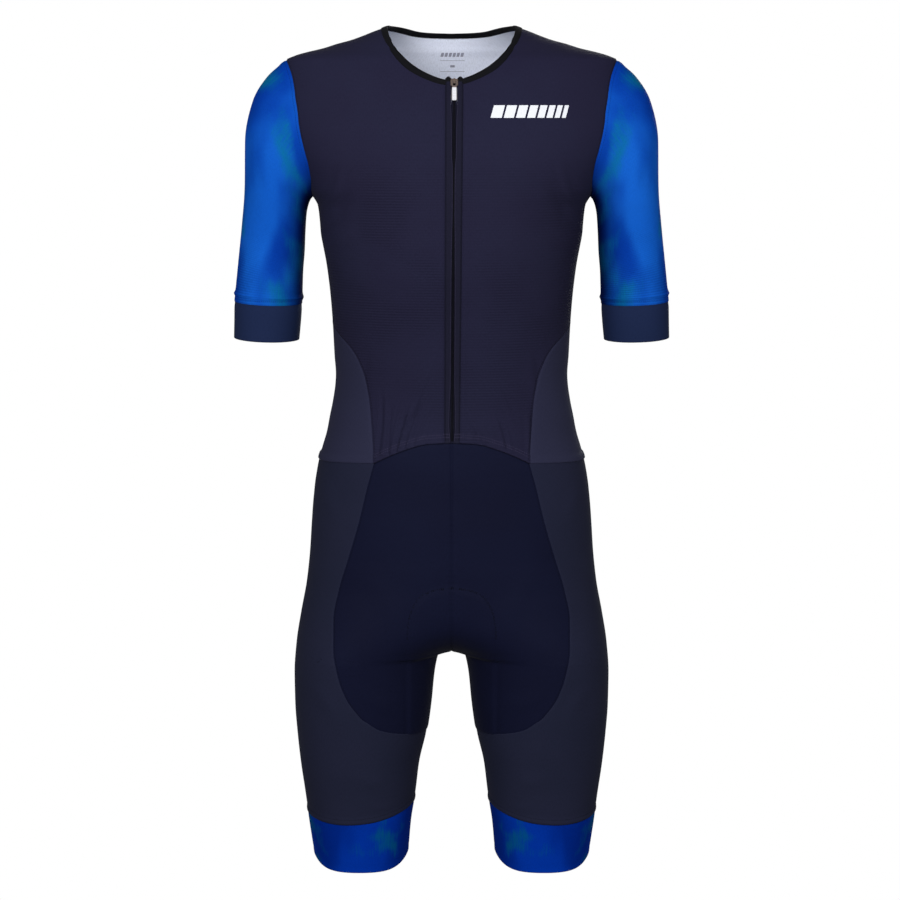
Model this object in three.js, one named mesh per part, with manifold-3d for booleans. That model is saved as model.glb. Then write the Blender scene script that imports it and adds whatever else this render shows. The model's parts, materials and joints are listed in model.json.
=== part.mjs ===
// A short-sleeved triathlon suit, filled out as if worn, with no wearer in it.
// Millimetres. +Z is up, the suit faces -Y, and +X is the wearer's left.
// The origin lies midway between the shoulder tips, where the wearer's shoulders carry the suit.
import * as THREE from "three";
import { mergeVertices } from "three/addons/utils/BufferGeometryUtils.js";
import Module from "manifold-3d";

const wasm = await Module();
wasm.setup();

// Cloth
const CLOTH = 1.4; // wall of a panel, with its seam allowances
const BAND = 2.2; // wall of the doubled bands at the neck, cuffs and legs
const SEAM_GAP = 0.3; // between two panels that are sewn together
const FULLNESS = 2.2; // power of the body's rings: 2 is an ellipse, more is squarer

// Heights that several pieces share
const SHOULDER_TIP = 2;
const ARMPIT = -149;
const GORE_TIP = -286; // where the side gore ends in a point below the armhole
const WAIST_FRONT = -410; // top of the arch at the centre front
const WAIST_SIDE = -443.5;
const CROTCH = -668.6;
const PANEL_FOOT = -748; // where the front and seat panels reach the inseam
const LEG_SEAM = -854; // seam of the leg gripper, halfway round
const LEG_SEAM_TILT = 8; // lower on the outside than on the inside
const HEM = -900;
const HEM_DIP = { front: 10, back: 4 };

// The body's rings, half of each: half width, and depth to the front and to the back
const BODY = [
  { z: 41, width: 64, front: 10, back: 54 },
  { z: 39, width: 71, front: 16, back: 59 },
  { z: 37, width: 77, front: 21, back: 62.5 },
  { z: 33, width: 88, front: 29, back: 68 },
  { z: 29, width: 98, front: 35, back: 72 },
  { z: 24, width: 112, front: 39.5, back: 76 },
  { z: 20, width: 127, front: 43, back: 79 },
  { z: 15, width: 143, front: 47.5, back: 82 },
  { z: 11, width: 160, front: 51, back: 85 },
  { z: 7, width: 174, front: 55, back: 88 },
  { z: 2, width: 184, front: 59, back: 91 },
  { z: -5, width: 185.5, front: 63.5, back: 95 },
  { z: -15, width: 187, front: 69, back: 99 },
  { z: -28, width: 189.5, front: 75, back: 103 },
  { z: -45, width: 192, front: 83.5, back: 107 },
  { z: -64, width: 192, front: 92, back: 110 },
  { z: -77, width: 190, front: 97, back: 112 },
  { z: -96, width: 183, front: 104, back: 113.5 },
  { z: -112, width: 174.5, front: 109, back: 114 },
  { z: -129, width: 166, front: 113, back: 114 },
  { z: -141, width: 160.5, front: 115, back: 113.5 },
  { z: -149, width: 155, front: 116, back: 113 },
  { z: -159, width: 149.5, front: 117, back: 112 },
  { z: -192, width: 146, front: 118, back: 109 },
  { z: -226, width: 140, front: 115.5, back: 104 },
  { z: -260, width: 136, front: 109.5, back: 97.5 },
  { z: -293, width: 133.6, front: 103, back: 92 },
  { z: -327, width: 132, front: 97.5, back: 87.5 },
  { z: -344, width: 131, front: 95.5, back: 86 },
  { z: -361, width: 131.7, front: 94.5, back: 85.5 },
  { z: -378, width: 134, front: 94, back: 86 },
  { z: -395, width: 137.5, front: 94.5, back: 87 },
  { z: -413, width: 141, front: 95.5, back: 89 },
  { z: -430, width: 146, front: 97, back: 92 },
  { z: -444, width: 150, front: 98.5, back: 96 },
  { z: -481, width: 156, front: 100, back: 105 },
  { z: -516, width: 159, front: 101, back: 114 },
  { z: -550, width: 162, front: 100.5, back: 120 },
  { z: -585, width: 166, front: 98, back: 122 },
  { z: -620, width: 172.5, front: 95, back: 119 },
  { z: -655, width: 178, front: 92, back: 111 },
  { z: -690, width: 180.5, front: 88.5, back: 101 },
  { z: -725, width: 180, front: 85, back: 93 },
  { z: -760, width: 177.6, front: 79.5, back: 85 },
  { z: -795, width: 174, front: 73.5, back: 77.5 },
  { z: -831, width: 169, front: 67, back: 69 },
  { z: -862, width: 165, front: 63, back: 62 },
  { z: -902, width: 159.5, front: 60, back: 56 },
  { z: -930, width: 157, front: 58, back: 53 },
];

// How far each leg's ring reaches inwards: below zero the two legs' rings still run together
const INNER_LEG = [
  { z: -550, inner: -162 },
  { z: -585, inner: -135 },
  { z: -605, inner: -108 },
  { z: -620, inner: -84 },
  { z: -635, inner: -57 },
  { z: -647, inner: -34 },
  { z: -656, inner: -18 },
  { z: -663, inner: -7 },
  { z: CROTCH, inner: 0 },
  { z: -669.4, inner: 9 },
  { z: -671.5, inner: 14 },
  { z: -676, inner: 16.5 },
  { z: -690, inner: 20 },
  { z: -725, inner: 24 },
  { z: -760, inner: 29 },
  { z: -795, inner: 37 },
  { z: -831, inner: 41.5 },
  { z: -866, inner: 47 },
  { z: -902, inner: 50 },
  { z: -930, inner: 52 },
];
const GROOVE = { radius: 18, from: -480, to: -560 }; // rounds the fold where the two legs meet

// The neck, by share of the way from centre front (-1) over the shoulder (0) to centre back (1)
const NECK_SEAM = [
  { share: -1, z: -26 },
  { share: -0.945, z: -25 },
  { share: -0.91, z: -19 },
  { share: -0.87, z: -10.4 },
  { share: -0.815, z: 1.5 },
  { share: -0.73, z: 12.8 },
  { share: -0.48, z: 28.5 },
  { share: -0.22, z: 35 },
  { share: 0, z: 37 },
  { share: 0.22, z: 36.4 },
  { share: 0.5, z: 34 },
  { share: 0.72, z: 30.5 },
  { share: 0.89, z: 28.8 },
  { share: 1, z: 28.4 },
];
const NECK_EDGE = [
  { share: -1, z: -20 },
  { share: -0.95, z: -18.5 },
  { share: -0.915, z: -11 },
  { share: -0.87, z: -1.4 },
  { share: -0.81, z: 8 },
  { share: -0.75, z: 15 },
  { share: -0.59, z: 26.3 },
  { share: -0.33, z: 34.5 },
  { share: -0.15, z: 38 },
  { share: 0, z: 39.6 },
  { share: 0.22, z: 40 },
  { share: 0.53, z: 38 },
  { share: 0.72, z: 34.8 },
  { share: 0.89, z: 33.2 },
  { share: 1, z: 32.8 },
];

// Seams on the front, by distance from the centre line
const WAIST_ARCH = [
  { x: 0, z: -410 },
  { x: 22, z: -412.2 },
  { x: 44, z: -418 },
  { x: 62, z: -425.5 },
  { x: 86, z: -440 },
];
const GORE_FRONT = [
  { z: -299, x: 127.5 },
  { z: -312, x: 114 },
  { z: -325, x: 104.5 },
  { z: -349, x: 95.5 },
  { z: -373, x: 91 },
  { z: -404, x: 88.4 },
  { z: -440, x: 86 },
];
const FRONT_PANEL_SEAM = [
  { x: 86, z: -440 },
  { x: 93, z: -465 },
  { x: 103, z: -506 },
  { x: 114.3, z: -545 },
  { x: 126, z: -584 },
  { x: 131.3, z: -617 },
  { x: 130.9, z: -648 },
  { x: 125.2, z: -678.5 },
  { x: 115, z: -703 },
  { x: 99.3, z: -723.7 },
  { x: 79.3, z: -735.3 },
  { x: 58.2, z: -741.5 },
  { x: 42, z: -745 },
];
const SEAT_PANEL_SEAM = [
  { x: 92, z: -443.5 },
  { x: 100, z: -475 },
  { x: 111, z: -515 },
  { x: 122, z: -555 },
  { x: 130, z: -590 },
  { x: 134, z: -622 },
  { x: 132, z: -652 },
  { x: 125.2, z: -680 },
  { x: 114, z: -704 },
  { x: 98, z: -724 },
  { x: 79.3, z: -735.3 },
  { x: 58.2, z: -741.5 },
  { x: 42, z: -745 },
];
const SEAM_CORNER = 9; // index of the row where each of those two seams turns under the panel

// Sleeve and cuff rings: the outer and the inner point seen from the front, and the depths
const ARMHOLE = { reach: 1 / 3, power: 0.9 };
const SLEEVE = [
  { at: 0, outerX: 184, outerZ: 2, innerX: 155, innerZ: -149, front: 52, back: 58 },
  { at: 0.12, outerX: 205, outerZ: -16, innerX: 157.5, innerZ: -151.5, front: 52, back: 56 },
  { at: 0.25, outerX: 221.5, outerZ: -43, innerX: 160, innerZ: -157, front: 50, back: 53 },
  { at: 0.4, outerX: 230.5, outerZ: -86, innerX: 162.5, innerZ: -168, front: 47, back: 50 },
  { at: 0.55, outerX: 231.5, outerZ: -138, innerX: 164, innerZ: -188, front: 44, back: 47 },
  { at: 0.7, outerX: 235, outerZ: -180, innerX: 165, innerZ: -210, front: 42.5, back: 45 },
  { at: 0.85, outerX: 239, outerZ: -217, innerX: 167, innerZ: -235, front: 41, back: 43.5 },
  { at: 1, outerX: 244, outerZ: -263, innerX: 168, innerZ: -266, front: 40, back: 42 },
];
const CUFF = [
  { at: 0, outerX: 244.2, outerZ: -263, innerX: 168, innerZ: -266, front: 40, back: 42 },
  { at: 0.5, outerX: 244.6, outerZ: -284.5, innerX: 169.6, innerZ: -287, front: 39.5, back: 41.5 },
  { at: 1, outerX: 245.2, outerZ: -306, innerX: 171.8, innerZ: -308.5, front: 39, back: 41 },
];
const ARMHOLE_FADE = 0.35; // share of the sleeve over which its head takes up the armhole's shape

// Zip
const ZIP = {
  topX: 3, // the zip stands a little to the wearer's left at the neck
  bottomX: 0.5,
  coilHalf: 2.2,
  tapeFrom: 2.6,
  tapeTo: 9.4,
  tapeTop: -15,
  coilTop: -22.5,
};
const SLIDER = { z: -24, width: 8, height: 8.4, plate: 1.1, bridgeHalf: 1.8 };
const BAIL = { half: 0.9, reach: 3.3, post: 0.9, top: 5.1, bar: 0.8 };
const PULL = { pivot: 3.2, bar: 1.2, window: 4.2, length: 22, topWidth: 4.8, width: 6, thick: 1.1 };

// A smooth value at a point of a table, with no overshoot between its rows
function valueAt(rows, by, column, at) {
  const falling = rows[0][by] > rows[rows.length - 1][by];
  const table = falling ? [...rows].reverse() : rows;
  const last = table.length - 1;
  if (at <= table[0][by]) return table[0][column];
  if (at >= table[last][by]) return table[last][column];
  let i = 0;
  while (table[i + 1][by] < at) i += 1;
  const step = (k) => table[k + 1][by] - table[k][by];
  const slope = (k) => (table[k + 1][column] - table[k][column]) / step(k);
  const tangent = (k) => {
    if (k === 0) return slope(0);
    if (k === last) return slope(last - 1);
    const before = slope(k - 1);
    const after = slope(k);
    if (before * after <= 0) return 0;
    return (2 * before * after) / (before + after);
  };
  const h = step(i);
  const t = (at - table[i][by]) / h;
  const rise = (3 - 2 * t) * t * t;
  return (
    table[i][column] * (1 - rise) +
    table[i + 1][column] * rise +
    h * (1 - t) * t * (tangent(i) * (1 - t) - tangent(i + 1) * t)
  );
}

const signedPower = (value, power) => Math.sign(value) * Math.abs(value) ** power;
const clamp = (value, low, high) => Math.min(high, Math.max(low, value));
const between = (a, b, share) => a + (b - a) * share;

function smoothStep(from, to, value) {
  const t = clamp((value - from) / (to - from), 0, 1);
  return t * t * (3 - 2 * t);
}

// What one half ring of the body measures at a height
function ringAt(z) {
  const width = valueAt(BODY, "z", "width", z);
  const groove = GROOVE.radius * smoothStep(GROOVE.from, GROOVE.to, z);
  const reach = z > INNER_LEG[0].z ? -width : valueAt(INNER_LEG, "z", "inner", z);
  const inner = reach > 0 ? Math.hypot(reach, groove) : reach + groove * (1 + reach / width);
  const middle = (width + inner) / 2;
  const half = (width - inner) / 2;
  const centre = clamp((groove - middle) / half, -1, 1);
  return {
    groove,
    middle,
    half,
    turn: Math.acos(signedPower(centre, FULLNESS / 2)),
    front: valueAt(BODY, "z", "front", z),
    back: valueAt(BODY, "z", "back", z),
  };
}

// A point of the left half of the body: share runs from -1 at the centre front or the inseam,
// through 0 at the side, to 1 at the centre back or the inseam
function bodyPoint(share, z) {
  const ring = ringAt(z);
  const angle = Math.abs(share) * ring.turn;
  const across = ring.middle + ring.half * signedPower(Math.cos(angle), 2 / FULLNESS);
  const depth = signedPower(Math.sin(angle), 2 / FULLNESS);
  const x = Math.sign(across - ring.groove) * Math.sqrt(Math.abs(across ** 2 - ring.groove ** 2));
  return new THREE.Vector3(x, share < 0 ? -ring.front * depth : ring.back * depth, z);
}

// The share at which the body's front, or with side 1 its back, stands at a distance x
function shareAt(x, z, side = -1) {
  const ring = ringAt(z);
  const across = signedPower(Math.sign(x) * x * x + ring.groove ** 2, 0.5);
  const cosine = clamp((across - ring.middle) / ring.half, -1, 1);
  return (side * Math.acos(signedPower(cosine, FULLNESS / 2))) / ring.turn;
}

// A ring point of the sleeve or cuff: angle 0 is the outer point, and below 0 is the front
function ringPoint(rows, angle, at) {
  const value = (column) => valueAt(rows, "at", column, at);
  const along = signedPower(Math.cos(angle), 2 / FULLNESS);
  const depth = signedPower(Math.sin(angle), 2 / FULLNESS);
  return new THREE.Vector3(
    between(value("innerX"), value("outerX"), (1 + along) / 2),
    depth * (angle < 0 ? value("front") : value("back")),
    between(value("innerZ"), value("outerZ"), (1 + along) / 2),
  );
}

function armholePlace(angle) {
  return {
    share: ARMHOLE.reach * signedPower(Math.sin(angle), ARMHOLE.power),
    z: between(ARMPIT, SHOULDER_TIP, (1 + Math.cos(angle)) / 2),
  };
}

function sleevePoint(angle, at) {
  const point = ringPoint(SLEEVE, angle, at);
  const fade = Math.max(0, 1 - at / ARMHOLE_FADE) ** 2;
  if (fade === 0) return point;
  const place = armholePlace(angle);
  const head = bodyPoint(place.share, place.z).sub(ringPoint(SLEEVE, angle, 0));
  return point.addScaledVector(head, fade);
}

// A point of a surface and the direction square to it, from small steps both ways
function surfaceAt(pointOf, a, b, stepA, stepB) {
  const alongA = pointOf(a + stepA, b).sub(pointOf(a - stepA, b));
  const alongB = pointOf(a, b + stepB).sub(pointOf(a, b - stepB));
  return { point: pointOf(a, b), normal: alongA.cross(alongB).normalize() };
}

const bodySurface = ({ share, z }) => surfaceAt(bodyPoint, share, z, 2e-3, 0.4);

// A grid of places between four edges that meet at their ends
function patch(left, right, top, bottom) {
  const rows = left.length - 1;
  const columns = top.length - 1;
  const mix = (key, i, j) => {
    const v = i / rows;
    const u = j / columns;
    const corners =
      between(top[0][key], top[columns][key], u) * (1 - v) +
      between(bottom[0][key], bottom[columns][key], u) * v;
    return (
      between(left[i][key], right[i][key], u) + between(top[j][key], bottom[j][key], v) - corners
    );
  };
  return left.map((_, i) => top.map((_, j) => ({ share: mix("share", i, j), z: mix("z", i, j) })));
}

// Draws the free edges of a grid in by half a seam gap, so that sewn neighbours stay apart
function drawIn(grid, wraps) {
  const rows = grid.length;
  const columns = grid[0].length;
  const draw = (edge, inside) => {
    const way = inside.point.clone().sub(edge.point).normalize();
    edge.point.addScaledVector(way, SEAM_GAP / 2);
  };
  for (let j = 0; j < columns; j += 1) {
    draw(grid[0][j], grid[1][j]);
    draw(grid[rows - 1][j], grid[rows - 2][j]);
  }
  if (wraps) return grid;
  for (let i = 0; i < rows; i += 1) {
    draw(grid[i][0], grid[i][1]);
    draw(grid[i][columns - 1], grid[i][columns - 2]);
  }
  return grid;
}

// The closed wall over a grid of points: outer face, inner face and the edges between them
function clothGeometry(grid, { wall = CLOTH, lift = 0, wraps = false, mirror = false } = {}) {
  const rows = grid.length;
  const columns = grid[0].length;
  const positions = [];
  for (const face of [lift, lift - wall]) {
    for (const place of grid.flat()) {
      const p = place.point.clone().addScaledVector(place.normal, face);
      positions.push(mirror ? -p.x : p.x, p.y, p.z);
    }
  }
  const outer = (i, j) => i * columns + (j % columns);
  const inner = (i, j) => rows * columns + outer(i, j);
  const faces = [];
  const quad = (a, b, c, d) => faces.push(a, b, c, a, c, d);
  const lastColumn = wraps ? columns : columns - 1;
  for (let i = 0; i < rows - 1; i += 1) {
    for (let j = 0; j < lastColumn; j += 1) {
      quad(outer(i, j), outer(i + 1, j), outer(i + 1, j + 1), outer(i, j + 1));
      quad(inner(i, j), inner(i, j + 1), inner(i + 1, j + 1), inner(i + 1, j));
    }
  }
  for (let j = 0; j < lastColumn; j += 1) {
    quad(outer(0, j), outer(0, j + 1), inner(0, j + 1), inner(0, j));
    quad(outer(rows - 1, j), inner(rows - 1, j), inner(rows - 1, j + 1), outer(rows - 1, j + 1));
  }
  if (!wraps) {
    const end = columns - 1;
    for (let i = 0; i < rows - 1; i += 1) {
      quad(outer(i, 0), inner(i, 0), inner(i + 1, 0), outer(i + 1, 0));
      quad(outer(i, end), outer(i + 1, end), inner(i + 1, end), inner(i, end));
    }
  }
  return facingOut(positions, faces);
}

// A geometry from positions and faces, turned round where its volume comes out negative
function facingOut(positions, faces) {
  const at = (k) => new THREE.Vector3().fromArray(positions, 3 * k);
  let volume = 0;
  for (let f = 0; f < faces.length; f += 3) {
    volume += at(faces[f]).dot(at(faces[f + 1]).cross(at(faces[f + 2])));
  }
  const index = volume < 0 ? [...faces].reverse() : faces;
  const geometry = new THREE.BufferGeometry();
  geometry.setAttribute("position", new THREE.Float32BufferAttribute(positions, 3));
  geometry.setIndex(index);
  geometry.computeVertexNormals();
  return geometry;
}

const spread = (count, place) => Array.from({ length: count + 1 }, (_, k) => place(k / count));

// Shared seams, each a list of places on the body
const COUNT = {
  neck: 6,
  armhole: 12,
  sideSeam: 4,
  gore: 8,
  shoulder: 8,
  backNeck: 6,
  backShoulder: 4,
  panelSeam: 11,
  underSeam: 6,
  leg: 20,
};
const TAIL = 3; // rows of the inseam between the panels' foot and the gripper

const zipLine = (z) =>
  between(ZIP.bottomX, ZIP.topX, clamp((z - WAIST_FRONT) / -WAIST_FRONT, 0, 1));
const neckSeamAt = (share) => ({ share, z: valueAt(NECK_SEAM, "share", "z", share) });
const archAt = (x) => valueAt(WAIST_ARCH, "x", "z", x);

const armholeEdge = (side) =>
  spread(COUNT.armhole, (t) => armholePlace(side * Math.PI * t));
const BELOW_ARMPIT = -165; // the row of a panel that starts at the armpit slopes down to here
const GORE_SHARE = 0.04;
const GORE_TIP_SHARE = 0.006;
const sideSeam = spread(COUNT.sideSeam, (t) => ({
  share: GORE_SHARE * t,
  z: between(ARMPIT, GORE_TIP + 2, t),
})).slice(1);

// The gore's seam on the front, and its mirror on the back, from the tip to the waist
function goreSeam(side) {
  const tip = { share: GORE_SHARE + side * GORE_TIP_SHARE, z: GORE_TIP };
  const rest = spread(COUNT.gore - 1, (t) => {
    const z = between(GORE_FRONT[0].z, side < 0 ? -440 : WAIST_SIDE, t ** 1.25);
    const x = valueAt(GORE_FRONT, "z", "x", z) + (side > 0 ? 6 * t : 0);
    return { share: shareAt(x, z, side), z };
  });
  return [tip, ...rest];
}
const goreFront = goreSeam(-1);
const goreBack = goreSeam(1);

// The seam round a front or seat panel of the shorts, down its side and in to the inseam
function panelSeam(rows, side) {
  const down = rows.slice(0, SEAM_CORNER + 1);
  const under = rows.slice(SEAM_CORNER);
  const first = spread(COUNT.panelSeam, (t) => {
    const z = between(down[0].z, down[SEAM_CORNER].z, t ** 0.85);
    return { share: shareAt(valueAt(down, "z", "x", z), z, side), z };
  });
  const corner = { share: shareAt(under[0].x, under[0].z, side), z: under[0].z };
  const places = under.map(({ x, z }) => ({ share: shareAt(x, z, side), z }));
  places.push({ share: side, z: PANEL_FOOT });
  const sorted = side < 0 ? [...places].reverse() : places;
  const last = spread(COUNT.underSeam, (t) => {
    const share = between(corner.share, side, t);
    return { share, z: valueAt(sorted, "share", "z", share) };
  });
  return { down: first, under: last };
}
const frontSeam = panelSeam(FRONT_PANEL_SEAM, -1);
const seatSeam = panelSeam(SEAT_PANEL_SEAM, 1);

// The waist seam of the side panels drops the last few millimetres just behind the front panel
const waistSideAt = (t) => between(FRONT_PANEL_SEAM[0].z, WAIST_SIDE, Math.min(1, 3 * t));
const legSeamAt = (share) => LEG_SEAM - LEG_SEAM_TILT * Math.cos(Math.PI * share);
function hemAt(share) {
  const dip = share < 0 ? HEM_DIP.front : HEM_DIP.back;
  return HEM - dip * Math.sin(Math.PI * Math.abs(share)) ** 2;
}

// Panels of the left side: mirror makes the right one, on its own side of the slanting zip
function zipEdge(sign, z) {
  return { share: shareAt(ZIP.tapeTo + SEAM_GAP / 2 + sign * zipLine(z), z), z };
}

function frontNeck(sign) {
  const corner = zipEdge(sign, valueAt(NECK_SEAM, "share", "z", -0.95));
  const neck = spread(COUNT.neck, (t) => neckSeamAt(between(0, corner.share, t ** 0.8)));
  return [...neck.slice(0, -1), corner];
}

function frontPanel(sign) {
  const neck = frontNeck(sign);
  const corner = neck[COUNT.neck];
  const foot = archAt(ZIP.tapeTo);
  const right = [...armholeEdge(-1), ...sideSeam, ...goreFront];
  const upper = COUNT.armhole - COUNT.neck;
  const lower = right.length - 1 - COUNT.armhole;
  const zip = [
    ...spread(upper, (t) => zipEdge(sign, between(corner.z, BELOW_ARMPIT, t))).slice(1),
    ...spread(lower, (t) => zipEdge(sign, between(BELOW_ARMPIT, foot, t))).slice(1),
  ];
  const left = [...neck, ...zip];
  const top = spread(COUNT.shoulder, (t) => ({
    share: 0,
    z: between(left[0].z, SHOULDER_TIP, t),
  }));
  const from = ZIP.tapeTo + SEAM_GAP / 2 + sign * zipLine(foot);
  const bottom = spread(COUNT.shoulder, (t) => {
    const x = between(from, WAIST_ARCH[WAIST_ARCH.length - 1].x, t);
    return { share: shareAt(x, archAt(x)), z: archAt(x) };
  });
  bottom[COUNT.shoulder] = right[right.length - 1];
  left[left.length - 1] = bottom[0];
  return patch(left, right, top, bottom);
}

function backHalf() {
  const right = [...armholeEdge(1), ...sideSeam, ...goreBack];
  const neck = spread(COUNT.backNeck, (t) => neckSeamAt(1 - t));
  const neckSide = neck[COUNT.backNeck].z;
  const shoulder = spread(COUNT.backShoulder, (t) => ({
    share: 0,
    z: between(neckSide, SHOULDER_TIP, t),
  }));
  const top = [...neck, ...shoulder.slice(1)];
  const last = right[right.length - 1];
  const bottom = spread(top.length - 1, (t) => ({ share: between(1, last.share, t), z: last.z }));
  const left = spread(right.length - 1, (t) => ({ share: 1, z: between(top[0].z, last.z, t) }));
  return patch(left, right, top, bottom);
}

function goreGrid() {
  const columns = 5;
  const across = [goreFront[0].share, goreBack[0].share];
  const top = spread(columns, (t) => ({ share: between(...across, t), z: GORE_TIP }));
  const a = goreFront[goreFront.length - 1];
  const b = goreBack[goreBack.length - 1];
  const bottom = spread(columns, (t) => ({ share: between(a.share, b.share, t), z: waistSideAt(t) }));
  return patch(goreFront, goreBack, top, bottom);
}

// A front or seat panel of the shorts, from the centre line and inseam out to its seam
function shortsPanel(seam, side, waistAt) {
  const heights = [0, 0.2, 0.4, 0.58, 0.74, 0.86, 0.94, 0.98];
  const start = waistAt(0);
  const left = heights.map((t) => ({ share: side, z: between(start, CROTCH, t) }));
  left.push({ share: side, z: CROTCH });
  for (const z of [-671.5, -690, PANEL_FOOT]) left.push({ share: side, z });
  const columns = seam.under.length - 1;
  const end = seam.down[0];
  const top = spread(columns, (t) => {
    const x = between(0, waistEnd(side), t);
    const z = waistAt(x);
    return { share: shareAt(x, z, side), z };
  });
  top[0] = left[0];
  top[columns] = end;
  const bottom = [...seam.under].reverse();
  return patch(left, seam.down, top, bottom);
}
const waistEnd = (side) => (side < 0 ? FRONT_PANEL_SEAM[0].x : SEAT_PANEL_SEAM[0].x);

function shortsSide() {
  const tail = (side) =>
    spread(TAIL, (t) => ({ share: side, z: between(PANEL_FOOT, legSeamAt(side), t) })).slice(1);
  const left = [...frontSeam.down, ...frontSeam.under.slice(1), ...tail(-1)];
  const right = [...seatSeam.down, ...seatSeam.under.slice(1), ...tail(1)];
  const columns = COUNT.leg;
  const a = left[0];
  const b = right[0];
  const top = spread(columns, (t) => ({
    share: between(a.share, b.share, t),
    z: waistSideAt(t),
  }));
  const bottom = spread(columns, (t) => {
    const share = between(-1, 1, t);
    return { share, z: legSeamAt(share) };
  });
  return patch(left, right, top, bottom);
}

// Tubes and bands
function gripperGrid() {
  return spread(2, (v) =>
    spread(COUNT.leg, (u) => {
      const share = between(-1, 1, u);
      return { share, z: between(legSeamAt(share), hemAt(share), v) };
    }).slice(1),
  );
}

function tubeGrid(pointOf, rows, around) {
  const surface = (angle, at) => {
    const made = surfaceAt(pointOf, angle, at, 0.02, 0.01);
    made.normal.negate(); // the rings run down the tube, so the steps' product points inwards
    return made;
  };
  return rows.map((at) => anglesRound(around).map((angle) => surface(angle, at)));
}

const anglesRound = (around) =>
  Array.from({ length: around }, (_, k) => Math.PI * ((2 * k) / around - 1));

// The sleeve's head leaves the armhole square to the body's own wall
function sleeveGrid() {
  const around = 2 * COUNT.armhole;
  const rows = SLEEVE.map(({ at }) => at);
  const grid = tubeGrid(sleevePoint, rows, around);
  grid[0] = anglesRound(around).map((angle) => bodySurface(armholePlace(angle)));
  return grid;
}

// The binding runs from the zip over the shoulder to the centre back, then back on the other side
function bindingGrid() {
  const backNeck = spread(COUNT.backNeck, (t) => neckSeamAt(t)).slice(1);
  const half = (sign) =>
    [...frontNeck(sign).reverse(), ...backNeck].map(({ share, z }) => [
      { share, z: valueAt(NECK_EDGE, "share", "z", share) },
      { share, z },
    ]);
  const place = (mirror) => (pair) =>
    [pair[0], { share: pair[0].share, z: (pair[0].z + pair[1].z) / 2 }, pair[1]].map((at) => {
      const made = bodySurface(at);
      if (mirror) {
        made.point.x *= -1;
        made.normal.x *= -1;
      }
      return made;
    });
  const left = half(1).map(place(false));
  const right = half(-1).map(place(true)).reverse();
  left[left.length - 1].forEach((made) => made.point.setX(0));
  return [...left, ...right.slice(1)];
}

// A strip of the zip between two distances from its line, narrowing over the first rows at its top
function zipStrip(from, to, topZ, sign, topWidths) {
  const foot = WAIST_FRONT;
  const rows = 22;
  return spread(rows, (t) => {
    const z = between(topZ, foot, t ** 1.3);
    const k = Math.round(t * rows);
    const share = topWidths[k] ?? 1;
    const middle = (from + to) / 2;
    return [-1, 0, 1].map((way) => {
      const x = middle + (way * share * (to - from)) / 2 + sign * zipLine(z);
      const height = t === 1 ? archAt(Math.abs(x)) : z;
      const made = bodySurface({ share: shareAt(x, height), z: height });
      return made;
    });
  });
}

// Hard parts, made flat with +Z up the zip and -Y out of the cloth
function box(width, depth, height, x, y, z) {
  return new THREE.BoxGeometry(width, depth, height).translate(x, y, z);
}

function solid(geometry) {
  const bare = geometry.clone();
  bare.deleteAttribute("normal");
  bare.deleteAttribute("uv");
  const merged = mergeVertices(bare, 1e-4);
  return new wasm.Manifold(
    new wasm.Mesh({
      numProp: 3,
      vertProperties: new Float32Array(merged.attributes.position.array),
      triVerts: new Uint32Array(merged.index.array),
    }),
  );
}

function geometryOf(made) {
  const mesh = made.getMesh();
  const geometry = new THREE.BufferGeometry();
  geometry.setAttribute("position", new THREE.Float32BufferAttribute(mesh.vertProperties, 3));
  geometry.setIndex([...mesh.triVerts]);
  return geometry;
}

const joined = (pieces) => geometryOf(pieces.map(solid).reduce((a, b) => a.add(b)));

// A flat outline in x and z, given a thickness along y from its near face
function plate(shape, near, thick) {
  const made = new THREE.ExtrudeGeometry(shape, { depth: thick, bevelEnabled: false, curveSegments: 3 });
  return made.rotateX(Math.PI / 2).translate(0, near + thick, 0);
}

function roundedOutline(width, low, high, radius) {
  const w = width / 2;
  const shape = new THREE.Shape();
  shape.moveTo(-w + radius, low);
  shape.lineTo(w - radius, low);
  shape.absarc(w - radius, low + radius, radius, -Math.PI / 2, 0);
  shape.lineTo(w, high - radius);
  shape.absarc(w - radius, high - radius, radius, 0, Math.PI / 2);
  shape.lineTo(-w + radius, high);
  shape.absarc(-w + radius, high - radius, radius, Math.PI / 2, Math.PI);
  shape.lineTo(-w, low + radius);
  shape.absarc(-w + radius, low + radius, radius, Math.PI, 1.5 * Math.PI);
  return shape;
}

const TAPE_LIFT = 0.4;
const PLATE_FRONT = -(TAPE_LIFT + 0.5 + SLIDER.plate); // outer face of the slider's front plate
const PLATE_BACK = CLOTH + 0.5;

function sliderGeometry() {
  const half = SLIDER.height / 2;
  const outline = roundedOutline(SLIDER.width, -half, half, 1.6);
  const bridgeZ = half - 0.9;
  const postZ = BAIL.reach - BAIL.post / 2;
  const barY = -(BAIL.top - BAIL.bar / 2);
  const postLength = BAIL.top + PLATE_FRONT + 0.4;
  const postY = -(BAIL.top - postLength / 2);
  const through = PLATE_BACK - PLATE_FRONT;
  return joined([
    plate(outline, PLATE_FRONT, SLIDER.plate),
    plate(outline, PLATE_BACK, SLIDER.plate),
    box(2 * SLIDER.bridgeHalf, through, 1.4, 0, (PLATE_BACK + PLATE_FRONT) / 2 + 0.5, bridgeZ),
    box(2 * BAIL.half, postLength, BAIL.post, 0, postY, postZ),
    box(2 * BAIL.half, postLength, BAIL.post, 0, postY, -postZ),
    box(2 * BAIL.half, BAIL.bar, 2 * BAIL.reach, 0, barY, 0),
  ]);
}

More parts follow.
